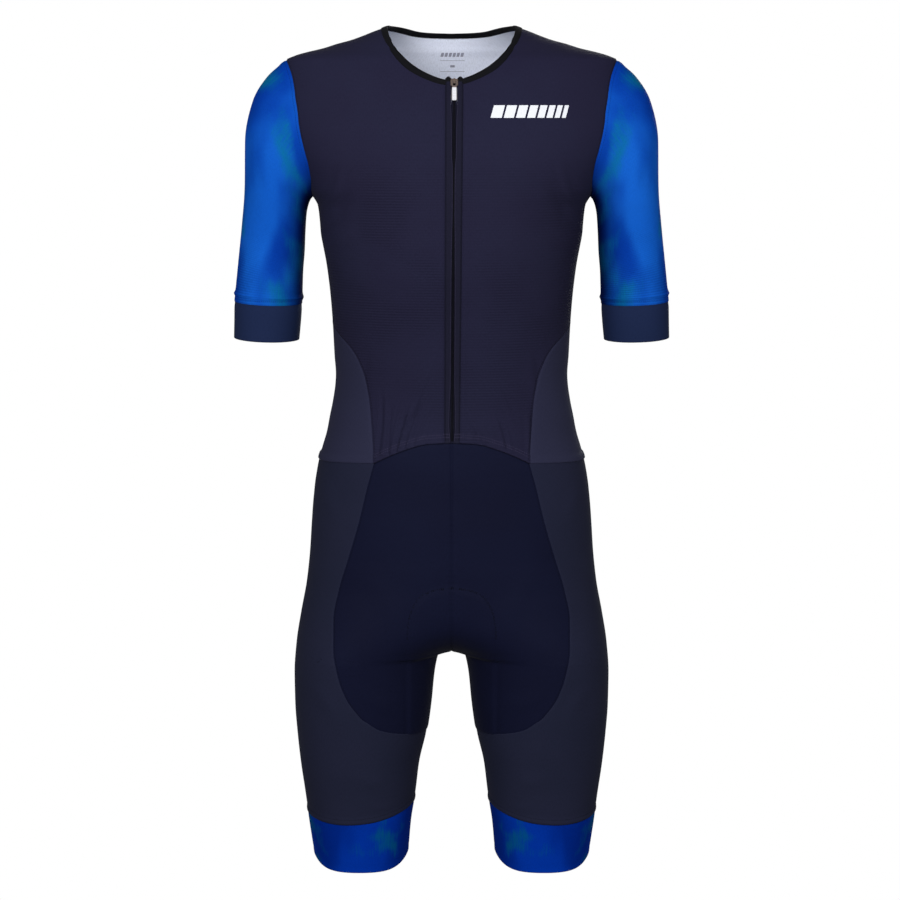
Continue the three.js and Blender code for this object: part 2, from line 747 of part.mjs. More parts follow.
// The pull tab about its own pivot: a bar through the bail, a window and a tab that widens downwards
function pullGeometry() {
  const shape = new THREE.Shape();
  const top = PULL.bar / 2;
  const waist = -PULL.window - 1.5;
  shape.moveTo(-PULL.topWidth / 2, top);
  shape.lineTo(-PULL.topWidth / 2, waist);
  shape.lineTo(-PULL.width / 2, -PULL.length + 4);
  shape.absarc(-PULL.width / 2 + 1.5, -PULL.length + 1.5, 1.5, Math.PI, 1.5 * Math.PI);
  shape.absarc(PULL.width / 2 - 1.5, -PULL.length + 1.5, 1.5, 1.5 * Math.PI, 2 * Math.PI);
  shape.lineTo(PULL.width / 2, -PULL.length + 4);
  shape.lineTo(PULL.topWidth / 2, waist);
  shape.lineTo(PULL.topWidth / 2, top);
  const window = new THREE.Path();
  const w = BAIL.half + 0.4;
  window.moveTo(-w, -top);
  window.lineTo(w, -top);
  window.lineTo(w, -PULL.window);
  window.lineTo(-w, -PULL.window);
  shape.holes.push(window);
  return plate(shape, -PULL.thick / 2, PULL.thick);
}

// Finishes
const material = (color, roughness, metalness = 0) =>
  new THREE.MeshStandardMaterial({ color, roughness, metalness });
const navyKnit = material(0x24253a, 0.8);
const slateJersey = material(0x2a2c40, 0.75);
const deepNavy = material(0x11182c, 0.7);
const blueKnit = material(0x0d5cc0, 0.75);
const cuffKnit = material(0x212e4f, 0.8);
const gripperKnit = material(0x063a96, 0.75);
const bindingKnit = material(0x0c0c10, 0.8);
const zipTapeWeave = material(0x17171f, 0.8);
const zipPlastic = material(0x07070b, 0.55);
const brightMetal = material(0xc9c9cc, 0.3, 1);

const suit = new THREE.Group();

function addMesh(name, geometry, finish, parent = suit) {
  const mesh = new THREE.Mesh(geometry, finish);
  mesh.name = name;
  parent.add(mesh);
}

function addPair(name, gridOf, finish, options = {}) {
  for (const [side, sign] of [["left", 1], ["right", -1]]) {
    const grid = drawIn(gridOf(sign), options.wraps);
    const geometry = clothGeometry(grid, { ...options, mirror: sign < 0 });
    addMesh(name + "_" + side, geometry, finish);
  }
}

const onBody = (places) => places.map((row) => row.map(bodySurface));
const mirrored = ({ point, normal }) => ({
  point: new THREE.Vector3(-point.x, point.y, point.z),
  normal: new THREE.Vector3(-normal.x, normal.y, normal.z),
});

function addBack() {
  const half = onBody(backHalf());
  for (const row of half) row[0].point.setX(0);
  const whole = half.map((row) => [...row.slice(1).reverse().map(mirrored), ...row]);
  addMesh("back", clothGeometry(drawIn(whole, false)), navyKnit);
}

function addHardware() {
  const lean = Math.atan(
    (valueAt(BODY, "z", "front", SLIDER.z + 2) - valueAt(BODY, "z", "front", SLIDER.z - 6)) / 8,
  );
  const head = new THREE.Group();
  head.position.copy(bodyPoint(-1, SLIDER.z)).setX(zipLine(SLIDER.z));
  head.rotation.x = lean;
  suit.add(head);
  addMesh("zip_slider", sliderGeometry(), brightMetal, head);
  const hinge = new THREE.Group();
  hinge.position.set(0, -PULL.pivot, 0);
  head.add(hinge);
  addMesh("zip_pull", pullGeometry(), brightMetal, hinge);
}

const GARAGE = [0.3, 0.85];
addPair("front", (sign) => onBody(frontPanel(sign)), navyKnit);
addBack();
addPair("side", () => onBody(goreGrid()), slateJersey);
addPair("sleeve", sleeveGrid, blueKnit, { wraps: true });
const cuffPoint = (angle, at) => ringPoint(CUFF, angle, at);
addPair("cuff", () => tubeGrid(cuffPoint, [0, 0.5, 1], 24), cuffKnit, { wraps: true, wall: BAND });
const neckBand = drawIn(bindingGrid(), false);
addMesh("neck_binding", clothGeometry(neckBand, { wall: BAND, lift: TAPE_LIFT }), bindingKnit);
const tape = (sign) => zipStrip(ZIP.tapeFrom, ZIP.tapeTo, ZIP.tapeTop, sign, GARAGE);
addPair("zip_tape", tape, zipTapeWeave, { lift: TAPE_LIFT, wall: CLOTH + TAPE_LIFT });
const coil = drawIn(zipStrip(-ZIP.coilHalf, ZIP.coilHalf, ZIP.coilTop, 1, []), false);
addMesh("zip_coil", clothGeometry(coil, { lift: TAPE_LIFT / 2 }), zipPlastic);
addPair("shorts_front", () => onBody(shortsPanel(frontSeam, -1, archAt)), deepNavy);
addPair("seat", () => onBody(shortsPanel(seatSeam, 1, () => WAIST_SIDE)), deepNavy);
addPair("shorts_side", () => onBody(shortsSide()), slateJersey);
addPair("gripper", () => onBody(gripperGrid()), gripperKnit, { wraps: true, wall: BAND, lift: 0.2 });
addHardware();

export default suit;
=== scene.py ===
"""Looks of a short-sleeved triathlon suit, filled out as if worn, with no wearer in it.

Every panel is a fine grid surface on the form of its solid. Shapes are worked out in
millimetres and written to meshes in metres. +Z is up, the suit faces -Y, +X is the wearer's left.
"""
import json
import logging
import math
from collections.abc import Callable, Sequence
from dataclasses import dataclass, field
from enum import Enum

import bpy
import numpy as np
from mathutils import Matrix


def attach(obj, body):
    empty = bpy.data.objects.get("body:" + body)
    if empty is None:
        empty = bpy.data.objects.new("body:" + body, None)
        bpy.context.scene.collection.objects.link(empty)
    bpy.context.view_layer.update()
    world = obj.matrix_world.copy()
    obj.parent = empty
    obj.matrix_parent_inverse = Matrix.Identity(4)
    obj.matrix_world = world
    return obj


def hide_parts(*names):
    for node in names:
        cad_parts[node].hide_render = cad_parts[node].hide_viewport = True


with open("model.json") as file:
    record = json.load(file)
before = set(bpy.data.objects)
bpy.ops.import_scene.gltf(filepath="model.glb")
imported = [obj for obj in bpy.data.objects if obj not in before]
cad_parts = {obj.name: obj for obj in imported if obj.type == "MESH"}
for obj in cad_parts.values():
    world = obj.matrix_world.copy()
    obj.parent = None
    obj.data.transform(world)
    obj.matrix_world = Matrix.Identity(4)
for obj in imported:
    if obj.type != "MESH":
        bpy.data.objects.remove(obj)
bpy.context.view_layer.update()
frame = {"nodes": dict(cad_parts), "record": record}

log = logging.getLogger("suit")

Numbers = float | np.ndarray

MM = 0.001
SUIT = "suit"
CLOTH_UV = "cloth"

CLOTH = 1.4
BAND = 2.2
SLEEVE_CLOTH = 1.3

SHOULDER_TIP = 2.0
ARMPIT = -149.0
BELOW_ARMPIT = -165.0
SIDE_SEAM_FOOT = -284.0
GORE_TIP = -286.0
WAIST_FRONT = -415.5
WAIST_CORNER = -440.0
WAIST_SIDE = -443.5
CROTCH = -662.6
PANEL_FOOT = -755.0
LEG_SEAM = -846.0
LEG_SEAM_TILT = 5.7
LEG_SEAM_DIP_FRONT = 8.9
LEG_SEAM_DIP_BACK = 6.0
HEM = -900.0
HEM_DIP_FRONT = 12.0
HEM_DIP_BACK = 5.0
HEM_FLATNESS = 5.2
GORE_SHARE = 0.04
GORE_TIP_SHARE = 0.006

# Half rings of the body: height, half width, depth to the front, depth to the back
BODY_RINGS = (
    (41, 64, 10, 54), (39, 71, 16, 59), (37, 77, 21, 62.5), (33, 88, 29, 68), (29, 98, 35, 72),
    (24, 112, 39.5, 76), (20, 127, 43, 79), (15, 143, 47.5, 82), (11, 160, 51, 85), (7, 174, 55, 88),
    (2, 184, 59, 91), (-5, 185.5, 63.5, 95), (-15, 187, 69, 99), (-28, 189.5, 75, 103),
    (-45, 192, 83.5, 107), (-64, 192, 92, 110), (-77, 190, 97, 112), (-96, 183, 104, 113.5),
    (-112, 174.5, 109, 114), (-129, 166, 113, 114), (-141, 160.5, 115, 113.5), (-149, 155, 116, 113),
    (-159, 149.5, 117, 112), (-192, 146, 118, 109), (-226, 140, 115.5, 104), (-260, 136, 109.5, 97.5),
    (-293, 133.6, 103, 92), (-327, 132, 97.5, 87.5), (-344, 131, 95.5, 86), (-361, 131.7, 94.5, 85.5),
    (-378, 134, 94, 86), (-395, 137.5, 94.5, 87), (-413, 141, 95.5, 89), (-430, 146, 97, 92),
    (-444, 150, 98.5, 96), (-481, 156, 100, 105), (-516, 159, 101, 114), (-550, 162, 100.5, 120),
    (-585, 166, 98, 122), (-620, 172.5, 95, 119), (-655, 178, 92, 111), (-690, 180.5, 88.5, 101),
    (-725, 180, 85, 93), (-760, 177.6, 79.5, 85), (-795, 174, 73.5, 77.5), (-831, 169, 67, 69),
    (-862, 165, 63, 62), (-902, 159.5, 60, 56), (-930, 157, 58, 53),
)
# How far each leg's ring reaches inwards: height, place (below zero the legs still run together)
INNER_LEG = (
    (-550, -162), (-585, -135), (-602, -108), (-616, -84), (-630, -57), (-641.5, -34), (-650.5, -18),
    (-657.3, -7), (-662.6, 0), (-663.3, 9), (-665.5, 14), (-670.5, 16.5), (-690, 20.5), (-725, 24),
    (-760, 29), (-795, 37), (-831, 41.5), (-866, 47), (-902, 50), (-930, 52),
)
GROOVE_RADIUS = 18.0
GROOVE_FROM = -480.0
GROOVE_TO = -560.0

# Neck lines: distance from the centre line and height on the front
NECK_SEAM_FRONT = (
    (13.7, -25), (22, -22.3), (30.3, -19), (38, -15.3), (45.6, -11), (52.5, -5.8), (58.4, 0.2),
    (63.4, 6.5), (67.6, 13), (71.2, 19), (74.3, 24.6), (76.5, 29.6), (77.6, 33),
)
NECK_EDGE_FRONT = (
    (8.1, -20.1), (17.7, -17.2), (28.5, -12.6), (37, -7.8), (44.4, -2.6), (51, 3), (57, 9.2),
    (62, 15.6), (65.8, 21.9), (68.5, 27.8), (70.1, 33.2), (70.8, 36.6),
)
# Neck lines over the shoulder (share 0) to the centre back (1): share, height
NECK_SEAM_BACK = (
    (-0.2, 35.3), (0, 36.9), (0.1, 37), (0.2, 36.85), (0.3, 36.5), (0.4, 35.95), (0.5, 34.95),
    (0.6, 33.25), (0.72, 30.8), (0.89, 28.8), (1, 28.4),
)
NECK_EDGE_BACK = (
    (-0.1, 38.85), (0, 39.4), (0.1, 39.55), (0.2, 39.5), (0.3, 39.33), (0.4, 38.94), (0.5, 38.2),
    (0.6, 36.95), (0.72, 34.8), (0.89, 33.2), (1, 32.8),
)
NECK_FOOT_SEAM = -26.5
NECK_FOOT_EDGE = -21.0
ZIP_SHARE = -0.95

# Seams: distance from the centre line, height
WAIST_ARCH = ((0, -415.5), (28, -417.5), (52, -424.5), (70, -432), (86, -440))
GORE_FRONT = (
    (127.5, -299), (114, -312), (104.5, -325), (95.5, -349), (91, -373), (88.4, -404), (86, -440),
)
FRONT_PANEL_SEAM = (
    (86, -440), (93, -465), (103, -506), (114.3, -545), (126, -584), (132, -617), (132, -648),
    (127, -679), (117.5, -705), (101, -728), (80, -742), (58.2, -748.5), (42, -752),
)
SEAT_PANEL_SEAM = (
    (92, -443.5), (100, -475), (111, -515), (122, -555), (130, -590), (134, -622), (133, -652),
    (127, -680), (116.5, -705), (100, -728), (80, -742), (58.2, -748.5), (42, -752),
)
SEAM_CORNER = 9

# Rings of the sleeve and the cuff: place along, outer x and z, inner x and z, front, back
SLEEVE_RINGS = (
    (0, 184, 2, 155, -149, 52, 58), (0.12, 205, -16, 157.5, -151.5, 52, 56),
    (0.25, 221.5, -43, 160, -157, 50, 53), (0.4, 230.5, -86, 162.5, -168, 47, 50),
    (0.55, 231.5, -138, 164, -188, 44, 47), (0.7, 235, -180, 165, -210, 42.5, 45),
    (0.85, 239, -217, 167, -235, 41, 43.5), (1, 244, -263, 168, -266, 40, 42),
)
CUFF_RINGS = (
    (0, 244.2, -263, 168, -266, 40, 42), (0.5, 244.6, -284.5, 169.6, -287, 39.5, 41.5),
    (1, 245.2, -306, 171.8, -308.5, 39, 41),
)
ARMHOLE_REACH = 1 / 3
ARMHOLE_POWER = 0.9
ARMHOLE_FADE = 0.35

ZIP_TOP_X = 3.0
ZIP_BOTTOM_X = 0.5
COIL_HALF = 2.2
TAPE_TOP = -18.0
TAPE_WIDTH_TOP = 9.6
TAPE_WIDTH_FOOT = 8.2
COIL_TOP = -22.5
# Half of the gap between the zip's facings: height, gap
ZIP_GAP = (
    (-15, 3.0), (-42, 3.3), (-64, 2.1), (-100, 1.8), (-118, 0.7), (-160, 0.6), (-190, 1.1), (-262, 1.5),
    (-350, 1.6), (-376, 2.5), (-396, 2.8), (-414, 1.4),
)


# Arithmetic on whole arrays


def between(low: Numbers, high: Numbers, share: Numbers) -> Numbers:
    """Goes from low to high as share goes from 0 to 1."""
    return low + (high - low) * share


def signed_power(value: Numbers, power: float) -> np.ndarray:
    """Raises the size of a value to a power and keeps its sign."""
    return np.sign(value) * np.abs(value) ** power


def smooth_step(start: float, end: float, value: Numbers) -> np.ndarray:
    """Rises from 0 at start to 1 at end by 3t^2 - 2t^3, and stays level beyond them."""
    t = np.clip((np.asarray(value, float) - start) / (end - start), 0, 1)
    return t * t * (3 - 2 * t)


def hump(value: Numbers, width: Numbers) -> np.ndarray:
    """A soft ridge: exp(-(value / width)^2)."""
    return np.exp(-((np.asarray(value, float) / width) ** 2))


def unit(vectors: np.ndarray) -> np.ndarray:
    """Scales each vector of an array to length one."""
    return vectors / np.maximum(np.linalg.norm(vectors, axis=-1, keepdims=True), 1e-12)


def crowded(count: int) -> np.ndarray:
    """Places from 0 to 1 in count even steps, with two more close to each end.

    Args:
        count: the number of even steps.

    Returns:
        The places in rising order.
    """
    ends = np.array([0.14, 0.45])
    steps = np.concatenate((np.arange(count + 1), ends, count - ends))
    return np.sort(steps) / count


class Curve:
    """A smooth curve through the rows of a table, with no overshoot between them.

    Between two rows it is a cubic whose slope at a row is the harmonic mean of the slopes on
    both sides, or nought where they differ in sign.
    """

    def __init__(self, rows: Sequence[tuple[float, float]]) -> None:
        """Takes (place, value) rows in rising or falling order."""
        table = np.array(sorted(rows), float)
        self.place, self.value = table.T
        slope = np.diff(self.value) / np.diff(self.place)
        before, after = slope[:-1], slope[1:]
        agrees = before * after > 0
        total = np.where(agrees, before + after, 1)
        middle = np.where(agrees, 2 * before * after / total, 0)
        self.slope = np.concatenate((slope[:1], middle, slope[-1:]))

    def __call__(self, place: Numbers) -> np.ndarray:
        """Gives the curve's values at some places, level beyond its ends."""
        at = np.clip(place, self.place[0], self.place[-1])
        i = np.clip(np.searchsorted(self.place, at) - 1, 0, len(self.place) - 2)
        step = self.place[i + 1] - self.place[i]
        t = (at - self.place[i]) / step
        rise = (3 - 2 * t) * t * t
        lean = (1 - t) * t * (self.slope[i] * (1 - t) - self.slope[i + 1] * t)
        return self.value[i] * (1 - rise) + self.value[i + 1] * rise + step * lean


@dataclass(frozen=True)
class HalfRing:
    """What one half ring of the body measures, as arrays over its heights."""

    groove: np.ndarray
    middle: np.ndarray
    half: np.ndarray
    turn: np.ndarray
    front: np.ndarray
    back: np.ndarray


class BodyForm:
    """The filled-out body: squared ellipses that part into two legs below the crotch.

    A place on its left half is (share, height). The share runs from -1 at the centre front or
    the inseam, through 0 at the side, to 1 at the centre back or the inseam.
    """

    FULLNESS = 2.2
    SHARE_STEP = 2e-3
    HEIGHT_STEP = 0.4

    def __init__(self) -> None:
        """Makes the curves of the rings' sizes."""
        self.width = Curve([(z, width) for z, width, _, _ in BODY_RINGS])
        self.front = Curve([(z, front) for z, _, front, _ in BODY_RINGS])
        self.back = Curve([(z, back) for z, _, _, back in BODY_RINGS])
        self.inner = Curve(INNER_LEG)

    def ring(self, z: np.ndarray) -> HalfRing:
        """Works out the half rings at some heights."""
        width = self.width(z)
        groove = GROOVE_RADIUS * smooth_step(GROOVE_FROM, GROOVE_TO, z)
        reach = np.where(z > INNER_LEG[0][0], -width, self.inner(z))
        inner = np.where(reach > 0, np.hypot(reach, groove), reach + groove * (1 + reach / width))
        middle = (width + inner) / 2
        half = (width - inner) / 2
        centre = np.clip((groove - middle) / half, -1, 1)
        turn = np.arccos(signed_power(centre, self.FULLNESS / 2))
        return HalfRing(groove, middle, half, turn, self.front(z), self.back(z))

    def point(self, share: np.ndarray, z: np.ndarray) -> np.ndarray:
        """Gives points of the left half.

        Across the half, the place is middle + half * cos^(2/n) of share * turn, and x is the
        square root of its square less the groove's. The depth is front or back times sin^(2/n).

        Args:
            share: shares round the half ring.
            z: heights, of the same shape.

        Returns:
            Points in millimetres, with x, y and z in the last axis.
        """
        share, z = np.broadcast_arrays(np.asarray(share, float), np.asarray(z, float))
        ring = self.ring(z)
        angle = np.abs(share) * ring.turn
        across = ring.middle + ring.half * signed_power(np.cos(angle), 2 / self.FULLNESS)
        depth = signed_power(np.sin(angle), 2 / self.FULLNESS)
        x = signed_power(across - ring.groove, 0) * np.sqrt(np.abs(across**2 - ring.groove**2))
        return np.stack((x, np.where(share < 0, -ring.front, ring.back) * depth, z), axis=-1)

    def share_at(self, x: Numbers, z: Numbers, side: float = -1.0) -> np.ndarray:
        """Finds the share at which the front (side -1) or back (side 1) stands at a distance x."""
        x, z = np.broadcast_arrays(np.asarray(x, float), np.asarray(z, float))
        ring = self.ring(z)
        across = signed_power(np.sign(x) * x * x + ring.groove**2, 0.5)
        cosine = np.clip((across - ring.middle) / ring.half, -1, 1)
        return side * np.arccos(signed_power(cosine, self.FULLNESS / 2)) / ring.turn

    def surface(self, share: np.ndarray, z: np.ndarray) -> tuple[np.ndarray, np.ndarray]:
        """Gives points and the directions square to the surface there, from small steps."""
        a, b = self.SHARE_STEP, self.HEIGHT_STEP
        along = self.point(share + a, z) - self.point(share - a, z)
        up = self.point(share, z + b) - self.point(share, z - b)
        return self.point(share, z), unit(np.cross(along, up))


def natural_spline(place: np.ndarray, value: np.ndarray, at: np.ndarray) -> np.ndarray:
    """Draws a natural cubic spline through values at rising places.

    The second slopes m solve h0*m0 + 2*(h0 + h1)*m1 + h1*m2 = 6 * (slope1 - slope0) at each inner
    place, and are nought at both ends.

    Args:
        place: where the values are known.
        value: the values there.
        at: where the spline is wanted.

    Returns:
        The spline's values.
    """
    step = np.diff(place)
    slope = np.diff(value) / step
    count = len(place)
    system = np.eye(count)
    inner = np.arange(1, count - 1)
    system[inner, inner - 1] = step[:-1]
    system[inner, inner] = 2 * (step[:-1] + step[1:])
    system[inner, inner + 1] = step[1:]
    right = np.zeros(count)
    right[1:-1] = 6 * np.diff(slope)
    bend = np.linalg.solve(system, right)
    i = np.clip(np.searchsorted(place, at) - 1, 0, count - 2)
    a, b, h = place[i + 1] - at, at - place[i], step[i]
    curve = (bend[i] * a**3 + bend[i + 1] * b**3) / (6 * h)
    return curve + (value[i] / h - bend[i] * h / 6) * a + (value[i + 1] / h - bend[i + 1] * h / 6) * b


BODY = BodyForm()


class NeckLine:
    """A smooth line round the neck, as a height for each share.

    A natural spline runs through its places, by the distance along it.
    """

    def __init__(self, foot: float, front: Sequence, back: Sequence) -> None:
        """Takes the height at the centre front, the front's (x, z) and the back's (share, z)."""
        shares = [float(BODY.share_at(x, z)) for x, z in front] + [share for share, _ in back]
        share = np.array([-1.0, *shares])
        z = np.array([foot, *(row[1] for row in (*front, *back))], float)
        points = BODY.point(share, z)
        run = np.concatenate(([0], np.cumsum(np.linalg.norm(np.diff(points, axis=0), axis=1))))
        at = np.linspace(0, run[-1], 800)
        self.share = np.maximum.accumulate(natural_spline(run, share, at))
        self.height = natural_spline(run, z, at)

    def __call__(self, share: Numbers) -> np.ndarray:
        """Gives the line's heights at some shares."""
        return np.interp(share, self.share, self.height)


NECK_SEAM_AT = NeckLine(NECK_FOOT_SEAM, NECK_SEAM_FRONT, NECK_SEAM_BACK)
NECK_EDGE_AT = NeckLine(NECK_FOOT_EDGE, NECK_EDGE_FRONT, NECK_EDGE_BACK)
ARCH_AT = Curve(WAIST_ARCH)


def places(share: Numbers, z: Numbers) -> np.ndarray:
    """Joins shares and heights into places."""
    return np.stack(np.broadcast_arrays(np.asarray(share, float), np.asarray(z, float)), axis=-1)


def zip_line(z: Numbers) -> np.ndarray:
    """The zip's distance from the centre line: it slants a little towards the wearer's left."""
    return between(ZIP_BOTTOM_X, ZIP_TOP_X, np.clip((z - WAIST_FRONT) / -WAIST_FRONT, 0, 1))


def tape_edge(z: Numbers) -> np.ndarray:
    """How far each facing of the zip reaches from the zip's middle: less towards its foot."""
    return between(TAPE_WIDTH_FOOT, TAPE_WIDTH_TOP, np.clip((z - WAIST_FRONT) / -WAIST_FRONT, 0, 1))


def armhole_place(angle: Numbers) -> np.ndarray:
    """The armhole's places: the share is a third of sin^0.9, the height goes with the cosine."""
    share = ARMHOLE_REACH * signed_power(np.sin(angle), ARMHOLE_POWER)
    return places(share, between(ARMPIT, SHOULDER_TIP, (1 + np.cos(angle)) / 2))


def waist_side_at(t: Numbers) -> np.ndarray:
    """The waist seam of the side panels drops a little just behind the front panel."""
    return between(WAIST_CORNER, WAIST_SIDE, np.minimum(1, 3 * np.asarray(t, float)))


def back_waist_at(x: Numbers) -> np.ndarray:
    """The back's waist seam is level."""
    return np.full(np.shape(x), WAIST_SIDE)


def leg_seam_at(share: Numbers) -> np.ndarray:
    """The gripper's seam is lower on the outside of the leg, and dips at its front and back."""
    dip = np.where(share < 0, LEG_SEAM_DIP_FRONT, LEG_SEAM_DIP_BACK)
    return LEG_SEAM - LEG_SEAM_TILT * np.cos(np.pi * share) - dip * np.sin(np.pi * share) ** 2


def hem_at(share: Numbers) -> np.ndarray:
    """The hem dips at the front and back of each leg: dip * (1 - |cos|^n) of the turn."""
    dip = np.where(share < 0, HEM_DIP_FRONT, HEM_DIP_BACK)
    return HEM - dip * (1 - np.abs(np.cos(np.pi * share)) ** HEM_FLATNESS)


def patch(left: np.ndarray, right: np.ndarray, top: np.ndarray, bottom: np.ndarray,
          down: np.ndarray, across: np.ndarray) -> np.ndarray:
    """Fills the area between four edges: left-right blend plus top-bottom blend less the corners.

    Args:
        left: places down the left edge, one for each row.
        right: places down the right edge.
        top: places along the top edge, one for each column.
        bottom: places along the bottom edge.
        down: each row's share of the way down.
        across: each column's share of the way across.

    Returns:
        Places, with rows, columns and (share, height) as axes.
    """
    v = down[:, None, None]
    u = across[None, :, None]
    corners = between(between(top[0], top[-1], u), between(bottom[0], bottom[-1], u), v)
    return between(left[:, None], right[:, None], u) + between(top[None], bottom[None], v) - corners


# Folds pressed into the panels


@dataclass(frozen=True)
class Fold:
    """A soft ridge, or with a depth below nought a trough, from one point to another.

    Distances are from the centre line and heights, in millimetres. It fades out at its far end,
    and at its near end too unless it is rooted in a seam.
    """

    x0: float
    z0: float
    x1: float
    z1: float
    width: float
    depth: float
    bow: float = 0.0
    rooted: bool = False

    def relief(self, x: np.ndarray, z: np.ndarray) -> np.ndarray:
        """Its height over the panel: depth * (1 - d^2) * exp(-d^2 / 1.4), with d over its width."""
        run, rise = self.x1 - self.x0, self.z1 - self.z0
        length = math.hypot(run, rise)
        t = ((x - self.x0) * run + (z - self.z0) * rise) / length**2
        side = ((x - self.x0) * rise - (z - self.z0) * run) / length
        t_in = np.clip(t, 0, 1)
        beyond = (t - t_in) * length
        d2 = ((side - self.bow * 4 * t_in * (1 - t_in)) / self.width) ** 2 + (beyond / self.width) ** 2
        fade = 1 - smooth_step(0.45, 1.0, t_in)
        if not self.rooted:
            fade = fade * smooth_step(0.0, 0.3, t_in)
        return self.depth * fade * (1 - d2) * np.exp(-d2 / 1.4)


def folded(folds: Sequence[Fold], x: np.ndarray, z: np.ndarray) -> np.ndarray:
    """Adds up the folds' relief at some points."""
    total = np.zeros(np.shape(x))
    for fold in folds:
        total = total + fold.relief(x, z)
    return total


# Shaders


class Value:
    """One output of a shader node. Arithmetic on it adds Math nodes to the same tree."""

    def __init__(self, shader: "Shader", socket: bpy.types.NodeSocket) -> None:
        """Wraps a socket."""
        self.shader = shader
        self.socket = socket

    def _math(self, operation: str, *terms: "float | Value") -> "Value":
        """Adds one Math node."""
        return self.shader.node("ShaderNodeMath", {"operation": operation}, dict(enumerate(terms)))

    def __add__(self, other: "float | Value") -> "Value":
        """self + other."""
        return self._math("ADD", self, other)

    def __radd__(self, other: float) -> "Value":
        """other + self."""
        return self._math("ADD", other, self)

    def __sub__(self, other: "float | Value") -> "Value":
        """self - other."""
        return self._math("SUBTRACT", self, other)

    def __rsub__(self, other: float) -> "Value":
        """other - self."""
        return self._math("SUBTRACT", other, self)

    def __mul__(self, other: "float | Value") -> "Value":
        """self * other."""
        return self._math("MULTIPLY", self, other)

    def __rmul__(self, other: float) -> "Value":
        """other * self."""
        return self._math("MULTIPLY", other, self)

    def __truediv__(self, other: "float | Value") -> "Value":
        """self / other."""
        return self._math("DIVIDE", self, other)

    def wave(self) -> "Value":
        """0.5 + 0.5 * cos(self): 1 on a crest and 0 in a valley."""
        return 0.5 + 0.5 * self._math("COSINE", self)

    def power(self, exponent: float) -> "Value":
        """self raised to an exponent."""
        return self._math("POWER", self, exponent)

    def step(self, low: float, high: float) -> "Value":
        """Rises smoothly from 0 where self is low to 1 where it is high."""
        settings = {"interpolation_type": "SMOOTHSTEP"}
        values = {"Value": self, "From Min": low, "From Max": high, "To Min": 0.0, "To Max": 1.0}
        return self.shader.node("ShaderNodeMapRange", settings, values)


class Shader:
    """A material's node tree, with one Principled shader at its end."""

    def __init__(self, name: str) -> None:
        """Starts a material with an empty tree."""
        self.material = bpy.data.materials.new(name)
        self.material.use_nodes = True
        self.tree = self.material.node_tree
        self.tree.nodes.clear()

    def node(self, kind: str, settings: dict | None = None, values: dict | None = None,
             output: int | str = 0) -> Value:
        """Adds a node.

        Args:
            kind: the node's type.
            settings: its properties, which are set before its sockets.
            values: what each input socket gets, a plain value or another node's output.
            output: the output to give back, by place or name.

        Returns:
            That output.
        """
        made = self.tree.nodes.new(kind)
        for key, setting in (settings or {}).items():
            setattr(made, key, setting)
        for key, value in (values or {}).items():
            if isinstance(value, Value):
                self.tree.links.new(value.socket, made.inputs[key])
            else:
                made.inputs[key].default_value = value
        return Value(self, made.outputs[output])

    def mix(self, factor: "float | Value", low: object, high: object) -> Value:
        """Mixes two colours."""
        settings = {"data_type": "RGBA", "clamp_factor": True}
        return self.node("ShaderNodeMix", settings, {0: factor, 6: low, 7: high}, 2)

    def noise(self, vector: Value, scale: float, detail: float = 2.0, rough: float = 0.5) -> Value:
        """Adds a noise of a given fineness."""
        values = {"Vector": vector, "Scale": scale, "Detail": detail, "Roughness": rough}
        return self.node("ShaderNodeTexNoise", {}, values)

    def stretch(self, vector: Value, scale: tuple, offset: tuple = (0, 0, 0)) -> Value:
        """Moves and stretches coordinates."""
        values = {"Vector": vector, "Location": offset, "Scale": scale}
        return self.node("ShaderNodeMapping", {}, values)

    def axes(self, vector: Value) -> tuple[Value, Value, Value]:
        """Splits coordinates into three numbers."""
        split = self.node("ShaderNodeSeparateXYZ", {}, {"Vector": vector})
        outputs = split.socket.node.outputs
        return Value(self, outputs[0]), Value(self, outputs[1]), Value(self, outputs[2])

    def finish(self, values: dict, height: "Value | None" = None,
               deep: float = 0.0) -> bpy.types.Material:
        """Ends the tree with a Principled shader.

        Args:
            values: what its sockets get.
            height: what its relief follows, from 0 to 1.
            deep: the relief's depth in millimetres.

        Returns:
            The material.
        """
        if height is not None:
            bump = {"Height": height, "Strength": 1.0, "Distance": deep * MM}
            values = {**values, "Normal": self.node("ShaderNodeBump", {}, bump)}
        surface = self.node("ShaderNodeBsdfPrincipled", {}, values)
        output = self.tree.nodes.new("ShaderNodeOutputMaterial")
        self.tree.links.new(surface.socket, output.inputs["Surface"])
        return self.material


class Print(Enum):
    """What is printed on a cloth."""

    PLAIN = "plain"
    CLOUDS = "clouds"


Colour = tuple[float, float, float]


def linear(level: float) -> float:
    """Turns one 0-255 screen value into a linear one."""
    share = level / 255
    return share / 12.92 if share <= 0.04045 else ((share + 0.055) / 1.055) ** 2.4


def srgb(red: float, green: float, blue: float) -> Colour:
    """Turns 0-255 screen values into a linear colour."""
    return linear(red), linear(green), linear(blue)


def opaque(colour: Colour) -> tuple[float, float, float, float]:
    """Adds a full alpha to a colour."""
    return (*colour, 1.0)


